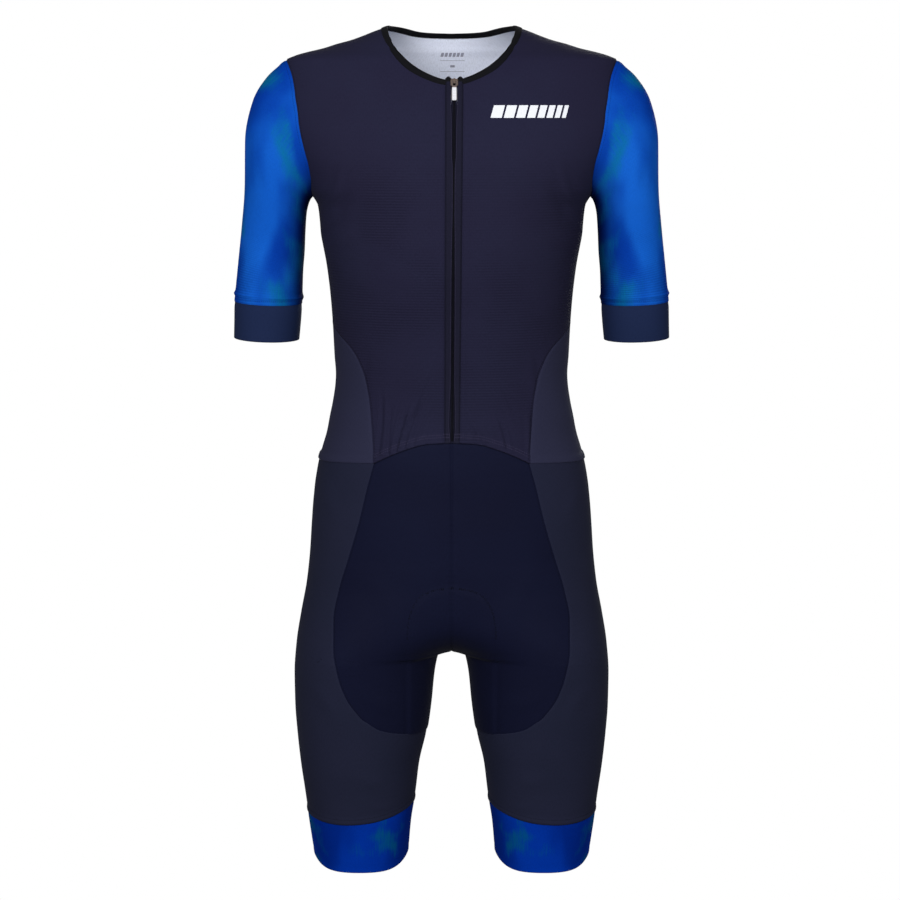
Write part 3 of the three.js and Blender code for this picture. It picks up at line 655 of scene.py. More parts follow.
@dataclass(frozen=True)
class ClothFinish:
    """A knitted cloth: level ribs, upright wales, a heather of two tones and perhaps a print. The valleys of
    its ribs and wales are painted darker, as painted shade.

    Pitches and depths are in millimetres.
    """

    name: str
    colour: Colour
    tone: Colour
    rib_pitch: float = 3.0
    # How far the rib valleys are painted darker, as painted shade.
    rib_shade: float = 0.16
    rib_from: float = -60.0
    wale_pitch: float = 0.9
    relief: float = 0.16
    roughness: float = 0.8
    sheen: float = 0.01
    gloss: float = 0.04
    pattern: Print = Print.PLAIN
    print_tone: Colour = (0.0, 0.0, 0.0)
    print_teal: Colour = (0.0, 0.0, 0.0)
    # The deep navy of the side towards the body, partly print and partly painted shade, and where it starts
    # and ends round the tube.
    inner_side_print_and_shade: Colour = (0.0, 0.0, 0.0)
    inner_print_and_shade_reach: tuple[float, float] = (1.0, 2.0)
    print_fineness: float = 13.0
    print_ragged: float = 0.16
    print_offset: tuple[float, float, float] = (0.0, 0.0, 0.0)

    def printed(self, shader: Shader, uv: Value, ground: Value) -> Value:
        """Lays soft clouds over a ground: deeper patches, then teal ones with ragged upright ends. The side
        towards the body turns deep navy, partly print and partly painted shade, and holds little teal.
        """
        where = shader.stretch(uv, (1, 1, 1), self.print_offset)
        clouds = shader.noise(shader.stretch(where, (1.2, 0.7, 1)), 11, 2, 0.45)
        deep = shader.mix(clouds.step(0.4, 0.62) * 0.85, ground, opaque(self.print_tone))
        around, _, _ = shader.axes(uv)
        # The side towards the body turns deep navy, partly print and partly painted shade where the trunk
        # shades the sleeve; teal is kept off it.
        inner_print_and_shade = (around * around).step(self.inner_print_and_shade_reach[0] ** 2, self.inner_print_and_shade_reach[1] ** 2)
        deep = shader.mix(inner_print_and_shade, deep, opaque(self.inner_side_print_and_shade))
        streaks = shader.noise(shader.stretch(where, (1, 0.09, 1)), 420, 3, 0.6)
        spread = shader.stretch(where, (1, 1.25, 1), (0.31, 0.17, 0))
        patches = shader.noise(spread, self.print_fineness, 2, 0.5)
        teal = (patches + self.print_ragged * (streaks - 0.5)).step(0.53, 0.70)
        return shader.mix(teal * 0.8 * (1 - 0.75 * inner_print_and_shade), deep, opaque(self.print_teal))

    def build(self) -> bpy.types.Material:
        """Makes the material."""
        shader = Shader(self.name)
        here = shader.node("ShaderNodeTexCoord", {}, {}, "Object")
        uv = shader.node("ShaderNodeUVMap", {"uv_map": CLOTH_UV}, {})
        around, height, _ = shader.axes(uv)
        waver = shader.noise(here, 40, 2) * 0.9
        rib = (height * (2 * math.pi / (self.rib_pitch * MM)) + waver).wave()
        ribbed = 1 - height.step((self.rib_from - 50) * MM, self.rib_from * MM)
        shown = (shader.noise(here, 12, 2).step(0.4, 0.62) * 0.75 + 0.25) * ribbed
        wale = (around * (2 * math.pi / (self.wale_pitch * MM)) + 3.14 * rib).wave()
        heather = shader.noise(shader.stretch(uv, (1, 0.35, 1)), 900, 2, 0.6)
        wash = shader.noise(here, 9, 3, 0.5)
        ground = shader.mix(wash.step(0.3, 0.7) * 0.7, opaque(self.colour), opaque(self.tone))
        if self.pattern is Print.CLOUDS:
            ground = self.printed(shader, uv, ground)
        # Painted shade: the rib and wale valleys are darkened towards black; the heather term is the random
        # tone of the cloth.
        dark = (1 - rib) * shown * self.rib_shade + heather.step(0.35, 0.75) * 0.14 + (1 - wale) * 0.06
        shaded = shader.mix(dark, ground, opaque((0.0, 0.0, 0.0)))
        roughness = self.roughness + 0.14 * (heather - 0.5) - 0.05 * rib
        values = {
            "Base Color": shaded,
            "Roughness": roughness,
            "Sheen Weight": self.sheen,
            "Sheen Roughness": 0.45,
            "Specular IOR Level": self.gloss,
        }
        return shader.finish(values, 0.62 * shown * rib + 0.22 * wale + 0.16 * heather, self.relief)


@dataclass(frozen=True)
class MetalFinish:
    """Cast metal, a little worn: lighter on its face below a height, the near-white face of the pull partly
    a painted highlight; darker above that height and on its flanks, the flanks as painted shade; and a
    near-black window painted as shade in the recess of the slider.
    """

    name: str
    colour: Colour
    dull_and_flank_shade: Colour
    roughness: float = 0.28
    metallic: float = 1.0
    middle: float = ZIP_TOP_X - 0.15
    face_half: float = 2.3
    bright_below: float = -28.6
    recess_shade: tuple[float, float, float] = (-24.3, -26.6, 1.5)

    def build(self) -> bpy.types.Material:
        """Makes the material."""
        shader = Shader(self.name)
        here = shader.node("ShaderNodeTexCoord", {}, {}, "Object")
        worn = shader.noise(here, 700, 3, 0.6)
        x, _, z = shader.axes(here)
        side = x * 1000 - self.middle
        # The flanks take the darker colour as painted shade; everything above bright_below takes it too.
        shaded_flank = (side * side).step(0.8 * self.face_half**2, 1.2 * self.face_half**2)
        above = (z * 1000).step(self.bright_below - 0.3, self.bright_below + 0.3)
        dull_and_flank_shade = 1 - (1 - shaded_flank) * (1 - above)
        tone = shader.mix(dull_and_flank_shade, opaque(self.colour), opaque(self.dull_and_flank_shade))
        # Painted shade: a near-black window where the slider is recessed.
        top, foot, half = self.recess_shade
        in_recess = (z * 1000).step(foot - 0.3, foot + 0.3) * (1 - (z * 1000).step(top - 0.3, top + 0.3))
        dark = in_recess * (1 - (side * side).step(0.7 * half**2, 1.3 * half**2))
        tone = shader.mix(dark, tone, opaque((0.004, 0.003, 0.004)))
        values = {
            "Base Color": tone,
            "Metallic": self.metallic,
            "Roughness": self.roughness + 0.25 * (worn - 0.5),
        }
        return shader.finish(values, worn, 0.02)


@dataclass(frozen=True)
class PlasticFinish:
    """Moulded plastic or thread: one colour with a fine grain."""

    name: str
    colour: Colour
    roughness: float = 0.5
    grain: float = 2500.0

    def build(self) -> bpy.types.Material:
        """Makes the material."""
        shader = Shader(self.name)
        here = shader.node("ShaderNodeTexCoord", {}, {}, "Object")
        grain = shader.noise(here, self.grain, 2, 0.6)
        worn = tuple(0.5 * level for level in self.colour)
        tone = shader.mix(grain.step(0.3, 0.8) * 0.3, opaque(self.colour), opaque(worn))
        roughness = self.roughness + 0.2 * (grain - 0.5)
        values = {"Base Color": tone, "Roughness": roughness, "Specular IOR Level": 0.06}
        return shader.finish(values, grain, 0.03)


@dataclass(frozen=True)
class Palette:
    """Every finish of the suit, by the record's slots."""

    bodice_knit: ClothFinish = ClothFinish(
        "bodice knit", srgb(29, 29, 49), srgb(27, 25, 45), rib_shade=0.2, rib_from=-95)
    gore_jersey: ClothFinish = ClothFinish(
        "gore jersey", srgb(38, 39, 59), srgb(35, 36, 56), rib_pitch=0.8, rib_shade=0.08, relief=0.06)
    side_jersey: ClothFinish = ClothFinish(
        "side jersey", srgb(28, 30, 48), srgb(25, 28, 45), rib_pitch=0.8, rib_shade=0.08, relief=0.06)
    navy_lycra: ClothFinish = ClothFinish(
        "navy stretch", srgb(13, 16, 37), srgb(11, 13, 33), rib_pitch=0.7, rib_shade=0.06, relief=0.05,
        roughness=0.7)
    sleeve_knit: ClothFinish = ClothFinish(
        "printed sleeve knit", srgb(17, 84, 178), srgb(11, 74, 166), rib_pitch=2.3, rib_shade=0.22,
        rib_from=-100, sheen=0.0, gloss=0.01, pattern=Print.CLOUDS, print_tone=srgb(2, 42, 134),
        print_teal=srgb(5, 96, 123), inner_side_print_and_shade=srgb(1, 16, 64), inner_print_and_shade_reach=(0.078, 0.152),
        print_fineness=9.0, print_offset=(0.42, 0.11, 0))
    cuff_knit: ClothFinish = ClothFinish(
        "cuff elastic", srgb(23, 33, 62), srgb(19, 29, 56), rib_pitch=1.1, rib_shade=0.1, relief=0.1)
    gripper_knit: ClothFinish = ClothFinish(
        "printed leg elastic", srgb(1, 43, 137), srgb(1, 38, 128), rib_pitch=1.0, rib_shade=0.08,
        relief=0.08, sheen=0.0, gloss=0.01, pattern=Print.CLOUDS, print_tone=srgb(0, 30, 110),
        print_teal=srgb(1, 69, 108), print_fineness=17.0, print_ragged=0.3, print_offset=(1.7, 0.62, 0))
    binding: ClothFinish = ClothFinish(
        "neck binding", srgb(17, 17, 20), srgb(12, 12, 15), rib_pitch=1.2, rib_shade=0.1, relief=0.08)
    zip_tape: ClothFinish = ClothFinish(
        "zip facing", srgb(24, 24, 39), srgb(21, 20, 35), rib_shade=0.06, relief=0.08)
    inside: ClothFinish = ClothFinish(
        "inside of the cloth", srgb(230, 235, 250), srgb(225, 230, 247), rib_pitch=1.6, rib_shade=0.04,
        relief=0.08)
    zip_coil: PlasticFinish = PlasticFinish("zip coil", srgb(11, 11, 18), 0.55)
    thread: PlasticFinish = PlasticFinish("navy thread", srgb(52, 48, 70), 0.7)
    blue_thread: PlasticFinish = PlasticFinish("blue thread", srgb(3, 34, 92), 0.8)
    pad_thread: PlasticFinish = PlasticFinish("pad thread", srgb(4, 5, 14), 0.8)
    dark_thread: PlasticFinish = PlasticFinish("dark thread", srgb(9, 10, 20), 0.8)
    reflective: PlasticFinish = PlasticFinish("reflective mark", srgb(208, 210, 216), 0.4)
    label_ink: PlasticFinish = PlasticFinish("label ink", srgb(150, 151, 166), 0.8)
    # The second colour darkens the flanks of the metal as painted shade; the near-white face of the pull is
    # partly a painted highlight.
    zip_metal: MetalFinish = MetalFinish("zip metal", srgb(190, 172, 160), srgb(150, 132, 122), 0.3)
    pull_metal: MetalFinish = MetalFinish(
        "pull metal", srgb(222, 222, 228), srgb(104, 92, 88), 0.25, 0.35)

    def material(self, slot: str) -> bpy.types.Material:
        """Makes a finish's material the first time, and gives the same one after that."""
        finish = getattr(self, slot)
        return bpy.data.materials.get(finish.name) or finish.build()


PALETTE = Palette()


# Meshes from grids


@dataclass
class Borders:
    """How far each point of a grid lies from its four edges, along the cloth."""

    top: np.ndarray
    bottom: np.ndarray
    left: np.ndarray
    right: np.ndarray

    @staticmethod
    def run(points: np.ndarray, axis: int) -> np.ndarray:
        """Adds up the steps along one axis of a grid."""
        steps = np.linalg.norm(np.diff(points, axis=axis), axis=-1)
        start = np.zeros_like(np.take(steps, [0], axis=axis))
        return np.cumsum(np.concatenate((start, steps), axis=axis), axis=axis)

    @classmethod
    def of(cls, points: np.ndarray) -> "Borders":
        """Measures a grid along its rows and its columns."""
        down, across = cls.run(points, 0), cls.run(points, 1)
        return cls(down, down[-1:] - down, across, across[:, -1:] - across)


@dataclass
class Sheet:
    """A piece of cloth as a grid: its points, the directions out of it, and its cloth coordinates."""

    points: np.ndarray
    normals: np.ndarray
    weave: np.ndarray
    edges: Borders = field(init=False)

    def __post_init__(self) -> None:
        """Measures the distances from the edges."""
        self.edges = Borders.of(self.points)

    def mirrored(self) -> "Sheet":
        """The same piece on the wearer's other side."""
        flip = np.array([-1.0, 1.0, 1.0])
        return Sheet(self.points * flip, self.normals * flip, self.weave)


HALF_GIRTH = 0.26  # metres of cloth from the centre front to the side, for the weave


def body_sheet(grid: np.ndarray) -> Sheet:
    """Puts a grid of places on the body."""
    share, z = grid[..., 0], grid[..., 1]
    points, normals = BODY.surface(share, z)
    return Sheet(points, normals, np.stack((share * HALF_GIRTH, z * MM), axis=-1))


def grid_faces(rows: int, columns: int) -> np.ndarray:
    """The quads of a grid whose points are numbered row by row."""
    i, j = np.meshgrid(np.arange(rows - 1), np.arange(columns - 1), indexing="ij")
    a = (i * columns + j).ravel()
    return np.stack((a, a + columns, a + columns + 1, a + 1), axis=-1)


def new_object(name: str, points: np.ndarray, faces: np.ndarray, slots: Sequence[str],
               shade: np.ndarray | None = None, weave: np.ndarray | None = None,
               sharp: float = 42.0) -> bpy.types.Object:
    """Makes a smooth mesh object that rides on the suit.

    Args:
        name: the piece's name.
        points: corner points in millimetres.
        faces: corners of each face, all with the same number.
        slots: names of its finishes.
        shade: the finish of each face, by place in slots.
        weave: cloth coordinates of each corner point.
        sharp: the angle in degrees past which an edge stays sharp.

    Returns:
        The object.
    """
    mesh = bpy.data.meshes.new(name)
    corners = faces.shape[1]
    mesh.vertices.add(len(points))
    mesh.vertices.foreach_set("co", (points * MM).astype(np.float32).ravel())
    mesh.loops.add(faces.size)
    mesh.loops.foreach_set("vertex_index", faces.astype(np.int32).ravel())
    mesh.polygons.add(len(faces))
    mesh.polygons.foreach_set("loop_start", np.arange(0, faces.size, corners, dtype=np.int32))
    if weave is not None:
        layer = mesh.uv_layers.new(name=CLOTH_UV)
        layer.data.foreach_set("uv", weave[faces.ravel()].astype(np.float32).ravel())
    for slot in slots:
        mesh.materials.append(PALETTE.material(slot))
    if shade is not None:
        mesh.polygons.foreach_set("material_index", shade.astype(np.int32))
    mesh.update(calc_edges=True)
    mesh.validate()
    mesh.polygons.foreach_set("use_smooth", np.ones(len(mesh.polygons), bool))
    mesh.set_sharp_from_angle(angle=math.radians(sharp))
    made = bpy.data.objects.new(name, mesh)
    bpy.context.scene.collection.objects.link(made)
    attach(made, SUIT)
    slots[0] if slots[0] in FRAME_SLOTS else "bodice_knit"
    log.info("%s: %d faces", name, len(faces))
    return made


FRAME_SLOTS = {entry["slot"] for entry in frame["record"]["materials"]}


@dataclass
class Wall:
    """A closed wall as arrays: corner points, quads, the finish of each quad and cloth coordinates."""

    points: np.ndarray
    faces: np.ndarray
    shade: np.ndarray
    weave: np.ndarray


def joined(walls: Sequence[Wall]) -> Wall:
    """Joins walls into one."""
    starts = np.cumsum([0] + [len(wall.points) for wall in walls])
    faces = [wall.faces + start for wall, start in zip(walls, starts)]
    return Wall(*(np.concatenate(part) for part in (
        [wall.points for wall in walls], faces, [wall.shade for wall in walls],
        [wall.weave for wall in walls],
    )))


def wall_of(sheet: Sheet, out: np.ndarray | float, wall: np.ndarray | float) -> Wall:
    """Makes a closed wall on a sheet: an outer face, an inner face and the edges between them.

    Args:
        sheet: its grid.
        out: how far the outer face stands out from the grid.
        wall: the wall's thickness.

    Returns:
        The wall, with finish 0 outside and on its edges and 1 inside.
    """
    rows, columns = sheet.points.shape[:2]
    out = np.broadcast_to(out, (rows, columns))
    outer = sheet.points + sheet.normals * out[..., None]
    inner = outer - sheet.normals * np.broadcast_to(wall, out.shape)[..., None]
    count = rows * columns
    face = grid_faces(rows, columns)
    number = np.arange(count).reshape(rows, columns)
    rim = np.concatenate((number[:, 0], number[-1, 1:], number[-2::-1, -1], number[0, -2:0:-1]))
    after = np.roll(rim, -1)
    edge = np.stack((rim, rim + count, after + count, after), axis=-1)
    faces = np.concatenate((face, face[:, ::-1] + count, edge))
    shade = np.concatenate((np.zeros(len(face)), np.ones(len(face)), np.zeros(len(edge))))
    turn = np.cross(outer[1, 1] - outer[0, 1], outer[1, 2] - outer[1, 1])
    if np.dot(turn, sheet.normals[1, 1]) < 0:
        faces = faces[:, ::-1]
    points = np.concatenate((outer.reshape(-1, 3), inner.reshape(-1, 3)))
    return Wall(points, faces, shade, np.concatenate((sheet.weave.reshape(-1, 2),) * 2))


def cloth(name: str, sheet: Sheet, out: np.ndarray, wall: np.ndarray | float,
          slots: Sequence[str]) -> bpy.types.Object:
    """Makes a piece of cloth: a closed wall on a sheet, with an outer and an inner finish."""
    made = wall_of(sheet, out, wall)
    return new_object(name, made.points, made.faces, slots, made.shade, made.weave)


def seam_dip(*distances: np.ndarray, deep: float = 0.55, width: float = 1.3) -> np.ndarray:
    """The small groove along sewn edges."""
    return -deep * sum(hump(distance, width) for distance in distances)


def turned_edge(distance: np.ndarray, radius: float) -> np.ndarray:
    """How far a face draws in near a turned edge, so that the edge is round."""
    inside = np.clip(1 - distance / radius, 0, 1)
    return radius * (1 - np.sqrt(1 - inside**2 * 0.98))


# Sewing


class Stitch(Enum):
    """How a thread runs."""

    RUN = "run"
    ZIGZAG = "zigzag"


@dataclass(frozen=True)
class Line:
    """A line on the face of a piece: its points and the directions out of the cloth."""

    points: np.ndarray
    normals: np.ndarray

    def at(self, distance: np.ndarray) -> tuple[np.ndarray, np.ndarray]:
        """Gives points and directions at some distances along the line."""
        run = self.run()
        points, normals = (
            np.stack([np.interp(distance, run, axis) for axis in rows.T], axis=-1)
            for rows in (self.points, self.normals)
        )
        return points, unit(normals)

    def run(self) -> np.ndarray:
        """Adds up the line's length from its start to each of its points."""
        steps = np.linalg.norm(np.diff(self.points, axis=0), axis=-1)
        return np.concatenate(([0.0], np.cumsum(steps)))


def face_line(sheet: Sheet, out: np.ndarray, edge: str, distance: float) -> Line:
    """Traces the line that runs at a distance from one edge, on the outer face of a sheet.

    Args:
        sheet: the piece's grid.
        out: how far its outer face stands out from the grid.
        edge: top, bottom, left or right.
        distance: the distance from that edge.

    Returns:
        The line.
    """
    outer = sheet.points + sheet.normals * out[..., None]
    level, normals = getattr(sheet.edges, edge), sheet.normals
    if edge in ("left", "right"):
        level, outer, normals = level.T, outer.swapaxes(0, 1), normals.swapaxes(0, 1)
    if edge in ("bottom", "right"):
        level, outer, normals = level[::-1], outer[::-1], normals[::-1]
    after = np.maximum(np.argmax(level >= distance, axis=0), 1)
    column = np.arange(level.shape[1])
    low, high = level[after - 1, column], level[after, column]
    share = ((distance - low) / np.maximum(high - low, 1e-9))[:, None]
    points = between(outer[after - 1, column], outer[after, column], share)
    return Line(points, unit(between(normals[after - 1, column], normals[after, column], share)))


@dataclass
class Sewing:
    """Rows of thread in one colour, gathered into one mesh. Each stitch is a small spindle."""

    name: str
    slot: str
    radius: float = 0.24
    walls: list[Wall] = field(default_factory=list)

    def sew(self, line: Line, kind: Stitch = Stitch.RUN, pitch: float = 2.6, width: float = 1.8) -> None:
        """Sews along a line.

        Args:
            line: where the thread runs.
            kind: single stitches in line, or a thread that goes from side to side.
            pitch: the length of a stitch with the gap after it.
            width: how far the zigzag reaches from side to side.
        """
        marks = np.arange(pitch / 2, line.run()[-1] - pitch, pitch)
        reach = pitch * (0.7 if kind is Stitch.RUN else 1.0)
        start, out = line.at(marks)
        end, out_end = line.at(marks + reach)
        if kind is Stitch.ZIGZAG:
            swing = np.where(np.arange(len(marks)) % 2, 0.5, -0.5)[:, None] * width
            start = start + np.cross(out, unit(end - start)) * swing
            end = end - np.cross(out_end, unit(end - start)) * swing
        self.add(start, end, unit(out + out_end))

    def add(self, start: np.ndarray, end: np.ndarray, out: np.ndarray) -> None:
        """Adds a spindle of four square rings between each start and end, low at both ends."""
        along = unit(end - start)
        across = np.cross(out, along)
        reach = np.array([0.0, 0.2, 0.8, 1.0])[None, :, None]
        girth = np.array([0.35, 1.0, 1.0, 0.35])[None, :, None, None] * self.radius
        lift = np.array([-0.8, 0.35, 0.35, -0.8])[None, :, None] * self.radius
        middle = between(start[:, None], end[:, None], reach) + out[:, None] * lift
        turn = np.arange(4) * np.pi / 2
        ring = np.cos(turn)[:, None] * across[:, None] + np.sin(turn)[:, None] * out[:, None]
        points = (middle[:, :, None] + ring[:, None] * girth).reshape(-1, 3)
        row, after = np.arange(16).reshape(4, 4), np.roll(np.arange(16).reshape(4, 4), -1, axis=1)
        sides = np.stack((row[:-1], after[:-1], after[1:], row[1:]), axis=-1).reshape(-1, 4)
        one = np.concatenate((sides, [[3, 2, 1, 0], [12, 13, 14, 15]]))
        faces = (one[None] + np.arange(len(start))[:, None, None] * 16).reshape(-1, 4)
        self.walls.append(Wall(points, faces, np.zeros(len(faces)), np.zeros((len(points), 2))))

    def finish(self) -> None:
        """Makes the mesh."""
        made = joined(self.walls)
        new_object(self.name, made.points, made.faces, (self.slot,), sharp=80)


# The bodice


@dataclass
class Bodice:
    """Two fronts, the back and two side gores, with the folds that their cut throws."""

    rows: int = 190
    columns: int = 62
    neck_steps: int = 6
    arm_steps: int = 12
    side_steps: int = 4
    gore_steps: int = 9
    hem_width: float = 8.6
    hem_lift: float = 1.3
    hem_rows: tuple[float, float] = (6.6, 9.4)
    back_columns: int = 100
    waist_folds_right: tuple[Fold, ...] = (
        Fold(82, -430, 78, -346, 2.6, -1.2, -3, True),
        Fold(76, -430, 73, -352, 2.6, 0.8, -2, True),
        Fold(70, -428, 62, -362, 2.1, -1.0, 2, True),
        Fold(66, -428, 46, -352, 1.9, 1.2, 3, True),
        Fold(61, -426, 38, -356, 1.7, -1.1, 2, True),
        Fold(58, -424, 30, -340, 1.8, 1.2, 3, True),
        Fold(52, -421, 25, -354, 1.6, -1.0, 3, True),
        Fold(49, -421, 16, -336, 1.8, 1.1, 2, True),
        Fold(43, -418, 18, -362, 1.5, -0.9, 2, True),
        Fold(39, -418, 12, -356, 1.6, 0.9, 2, True),
        Fold(31, -415, 12, -378, 1.5, -0.7, 1, True),
        Fold(27, -415, 11, -384, 1.5, 0.7, 1, True),
        Fold(60, -410, 12, -296, 2.4, 0.9, -5),
    )
    waist_folds_left: tuple[Fold, ...] = (
        Fold(90, -432, 88, -368, 3.2, -1.0, 1, True),
        Fold(84, -430, 82, -378, 2.6, 0.6, 1, True),
        Fold(66, -424, 57, -394, 1.9, 0.6, 1, True),
        Fold(61, -422, 49, -384, 2.0, -0.8, 2, True),
        Fold(57, -421, 41, -374, 2.2, 0.9, 2, True),
        Fold(45, -418, 33, -392, 1.8, -0.5, 1, True),
        Fold(37, -416, 19, -384, 2.0, 1.0, -1, True),
        Fold(32, -415, 16, -390, 1.7, -0.8, -1, True),
        Fold(26, -414, 14, -398, 1.6, 0.8, 0, True),
        Fold(70, -404, 30, -322, 3.0, 0.5, 4),
    )
    front_folds: tuple[Fold, ...] = (
        Fold(96, -372, 90, -306, 5, -0.8, 2),
        Fold(128, -172, 96, -128, 7, -1.3, 4),
        Fold(140, -165, 118, -98, 6, 1.1, -5),
        Fold(132, -205, 98, -178, 8, 0.9, 3),
        Fold(140, -190, 122, -176, 4, -0.9, 2, True),
        Fold(30, -60, 70, -110, 16, 0.5, 6),
        Fold(12, -46, 36, -60, 6, 0.4, 2),
    )
    back_folds: tuple[Fold, ...] = (
        Fold(20, -330, 70, -352, 8, 0.9, 5),
        Fold(14, -352, 82, -380, 7, -0.9, 6),
        Fold(24, -378, 76, -401, 8, 0.8, 4),
        Fold(96, -140, 60, -196, 11, 0.9, 6),
        Fold(118, -176, 84, -236, 9, -0.9, 5),
        Fold(70, -436, 40, -390, 4, 0.7, 3, True),
        Fold(52, -436, 22, -398, 3.6, -0.6, 2, True),
    )

    hem_thread: Sewing = field(default_factory=lambda: Sewing("waist_hem_stitches", "thread"))
    seam_thread: Sewing = field(default_factory=lambda: Sewing("bodice_seam_stitches", "dark_thread"))

    def side_edge(self, side: float, down: np.ndarray) -> np.ndarray:
        """The outer edge of a front (side -1) or of the back (side 1).

        It follows the armhole, then the side seam and then the gore's seam, each over its steps.

        Args:
            side: -1 for the front and 1 for the back.
            down: each row's share of the way down.

        Returns:
            Places on the body.
        """
        gore_from = self.arm_steps + self.side_steps
        steps = down * (gore_from + self.gore_steps)
        arm = armhole_place(side * np.pi * np.clip(steps / self.arm_steps, 0, 1))
        t = np.clip((steps - self.arm_steps) / self.side_steps, 0, 1)
        seam = places(GORE_SHARE * t, between(ARMPIT, SIDE_SEAM_FOOT, t))
        gore = self.gore_edge(side, np.clip((steps - gore_from) / self.gore_steps, 0, 1))
        edge = np.where((steps > self.arm_steps)[:, None], seam, arm)
        return np.where((steps > gore_from)[:, None], gore, edge)

    def gore_edge(self, side: float, t: np.ndarray) -> np.ndarray:
        """The gore's seam from its tip to the waist, on the front (-1) or the back (1)."""
        foot = WAIST_CORNER if side < 0 else WAIST_SIDE
        table = Curve([(z, x) for x, z in GORE_FRONT])
        heights = between(GORE_FRONT[0][1], foot, np.linspace(0, 1, 12))
        widen = 6 * np.linspace(0, 1, 12) if side > 0 else 0
        shares = BODY.share_at(table(heights) + widen, heights, side)
        rows = [(SIDE_SEAM_FOOT, GORE_SHARE), (GORE_TIP, GORE_SHARE + side * GORE_TIP_SHARE)]
        rows += list(zip(heights, shares))
        z = between(SIDE_SEAM_FOOT, foot, t**1.12)
        return places(Curve(rows)(z), z)

    def zip_edge(self, sign: float, z: np.ndarray) -> np.ndarray:
        """The front's edge beside the zip."""
        return places(BODY.share_at(tape_edge(z) + sign * zip_line(z), z), z)

    def front_grid(self, sign: float) -> np.ndarray:
        """The places of a front: neck and zip edge to the left, armhole and gore to the right."""
        down = crowded(self.rows)
        across = crowded(self.columns)
        below_arm = self.side_steps + self.gore_steps
        steps = down * (self.arm_steps + below_arm)
        corner = self.zip_edge(sign, NECK_SEAM_AT(ZIP_SHARE))
        share = between(0, corner[0], np.clip(steps / self.neck_steps, 0, 1) ** 0.8)
        neck = places(share, NECK_SEAM_AT(share))
        foot = ARCH_AT(TAPE_WIDTH_FOOT)
        past_neck = (steps - self.neck_steps) / (self.arm_steps - self.neck_steps)
        upper = between(corner[1], BELOW_ARMPIT, np.clip(past_neck, 0, 1))
        lower = between(BELOW_ARMPIT, foot, np.clip((steps - self.arm_steps) / below_arm, 0, 1))
        zip_side = self.zip_edge(sign, np.where(steps > self.arm_steps, lower, upper))
        left = np.where((steps > self.neck_steps)[:, None], zip_side, neck)
        top = places(0, between(left[0, 1], SHOULDER_TIP, across))
        x = between(TAPE_WIDTH_FOOT + sign * zip_line(foot), WAIST_ARCH[-1][0], across)
        bottom = places(BODY.share_at(x, ARCH_AT(x)), ARCH_AT(x))
        return patch(left, self.side_edge(-1, down), top, bottom, down, across)

    def hem_relief(self, distance: np.ndarray) -> np.ndarray:
        """The turned hem stands up, and a little more at its very edge."""
        turned = 1 - smooth_step(self.hem_width - 1.2, self.hem_width + 1.2, distance)
        return self.hem_lift * (turned + 0.25 * hump(distance - 1.4, 1.2)) / 1.25

    def front_relief(self, sheet: Sheet, sign: float) -> np.ndarray:
        """Folds, the seam grooves, the lift of the turned hem and the ridge beside the zip."""
        waist_folds = self.waist_folds_left if sign > 0 else self.waist_folds_right
        x, z = np.abs(sheet.points[..., 0]), sheet.points[..., 2]
        edges = sheet.edges
        hem = self.hem_relief(edges.bottom)
        below_neck = smooth_step(0.0, 1.0, -z - 26)
        zip_ridge = 0.7 * hump(edges.left - 3.6, 2.6) * below_neck - 0.8 * hump(edges.left, 1.8) * below_neck
        folds = folded((*self.front_folds, *waist_folds), x, z)
        return folds + hem + zip_ridge + seam_dip(edges.right)

    def front(self, sign: float) -> bpy.types.Object:
        """Builds one front."""
        name = "front_left" if sign > 0 else "front_right"
        sheet = body_sheet(self.front_grid(sign))
        sheet = sheet if sign > 0 else sheet.mirrored()
        out = self.front_relief(sheet, sign)
        round_hem = turned_edge(sheet.edges.bottom, 0.8)
        thick = CLOTH + self.hem_lift * 0.5 - round_hem
        made = cloth(name + "_cloth", sheet, out - round_hem, thick, ("bodice_knit", "inside"))
        self.sew_panel(sheet, out, ("right",))
        return declare(made, [name])

    def back_grid(self) -> np.ndarray:
        """The places of the back's left half: centre line to the left, armhole and gore to the right."""
        down = crowded(self.rows)
        across = crowded(self.back_columns // 2)
        right = self.side_edge(1, down)
        u = across * 10
        share = 1 - np.clip(u / 6, 0, 1)
        neck_side = NECK_SEAM_AT(0.0)
        shoulder = between(neck_side, SHOULDER_TIP, np.clip((u - 6) / 4, 0, 1))
        top = places(share, np.where(u > 6, shoulder, NECK_SEAM_AT(share)))
        bottom = places(between(1, right[-1, 0], across), right[-1, 1])
        left = places(1.0, between(top[0, 1], right[-1, 1], down))
        return patch(left, right, top, bottom, down, across)

    def back(self) -> bpy.types.Object:
        """Builds the back from its left half and that half's mirror."""
        half = body_sheet(self.back_grid())
        half.points[:, 0, 0] = 0
        flip = np.array([-1.0, 1.0, 1.0])
        parts = ((half.points, flip), (half.normals, flip), (half.weave, 1))
        sheet = Sheet(*(np.concatenate((part[:, :0:-1] * turn, part), axis=1) for part, turn in parts))
        x, z = sheet.points[..., 0], sheet.points[..., 2]
        uneven = np.where(x < 0, 0.75, 1.0)
        hem = self.hem_relief(sheet.edges.bottom)
        spine = -1.6 * hump(x, 9) * smooth_step(-60, -140, z) * smooth_step(-430, -360, z)
        out = folded(self.back_folds, np.abs(x), z) * uneven + hem + spine
        out = out + seam_dip(sheet.edges.left, sheet.edges.right)
        round_hem = turned_edge(sheet.edges.bottom, 0.8)
        thick = CLOTH + self.hem_lift * 0.5 - round_hem
        made = cloth("back_cloth", sheet, out - round_hem, thick, ("bodice_knit", "inside"))
        self.sew_panel(sheet, out, ("left", "right"))
        return declare(made, ["back"])

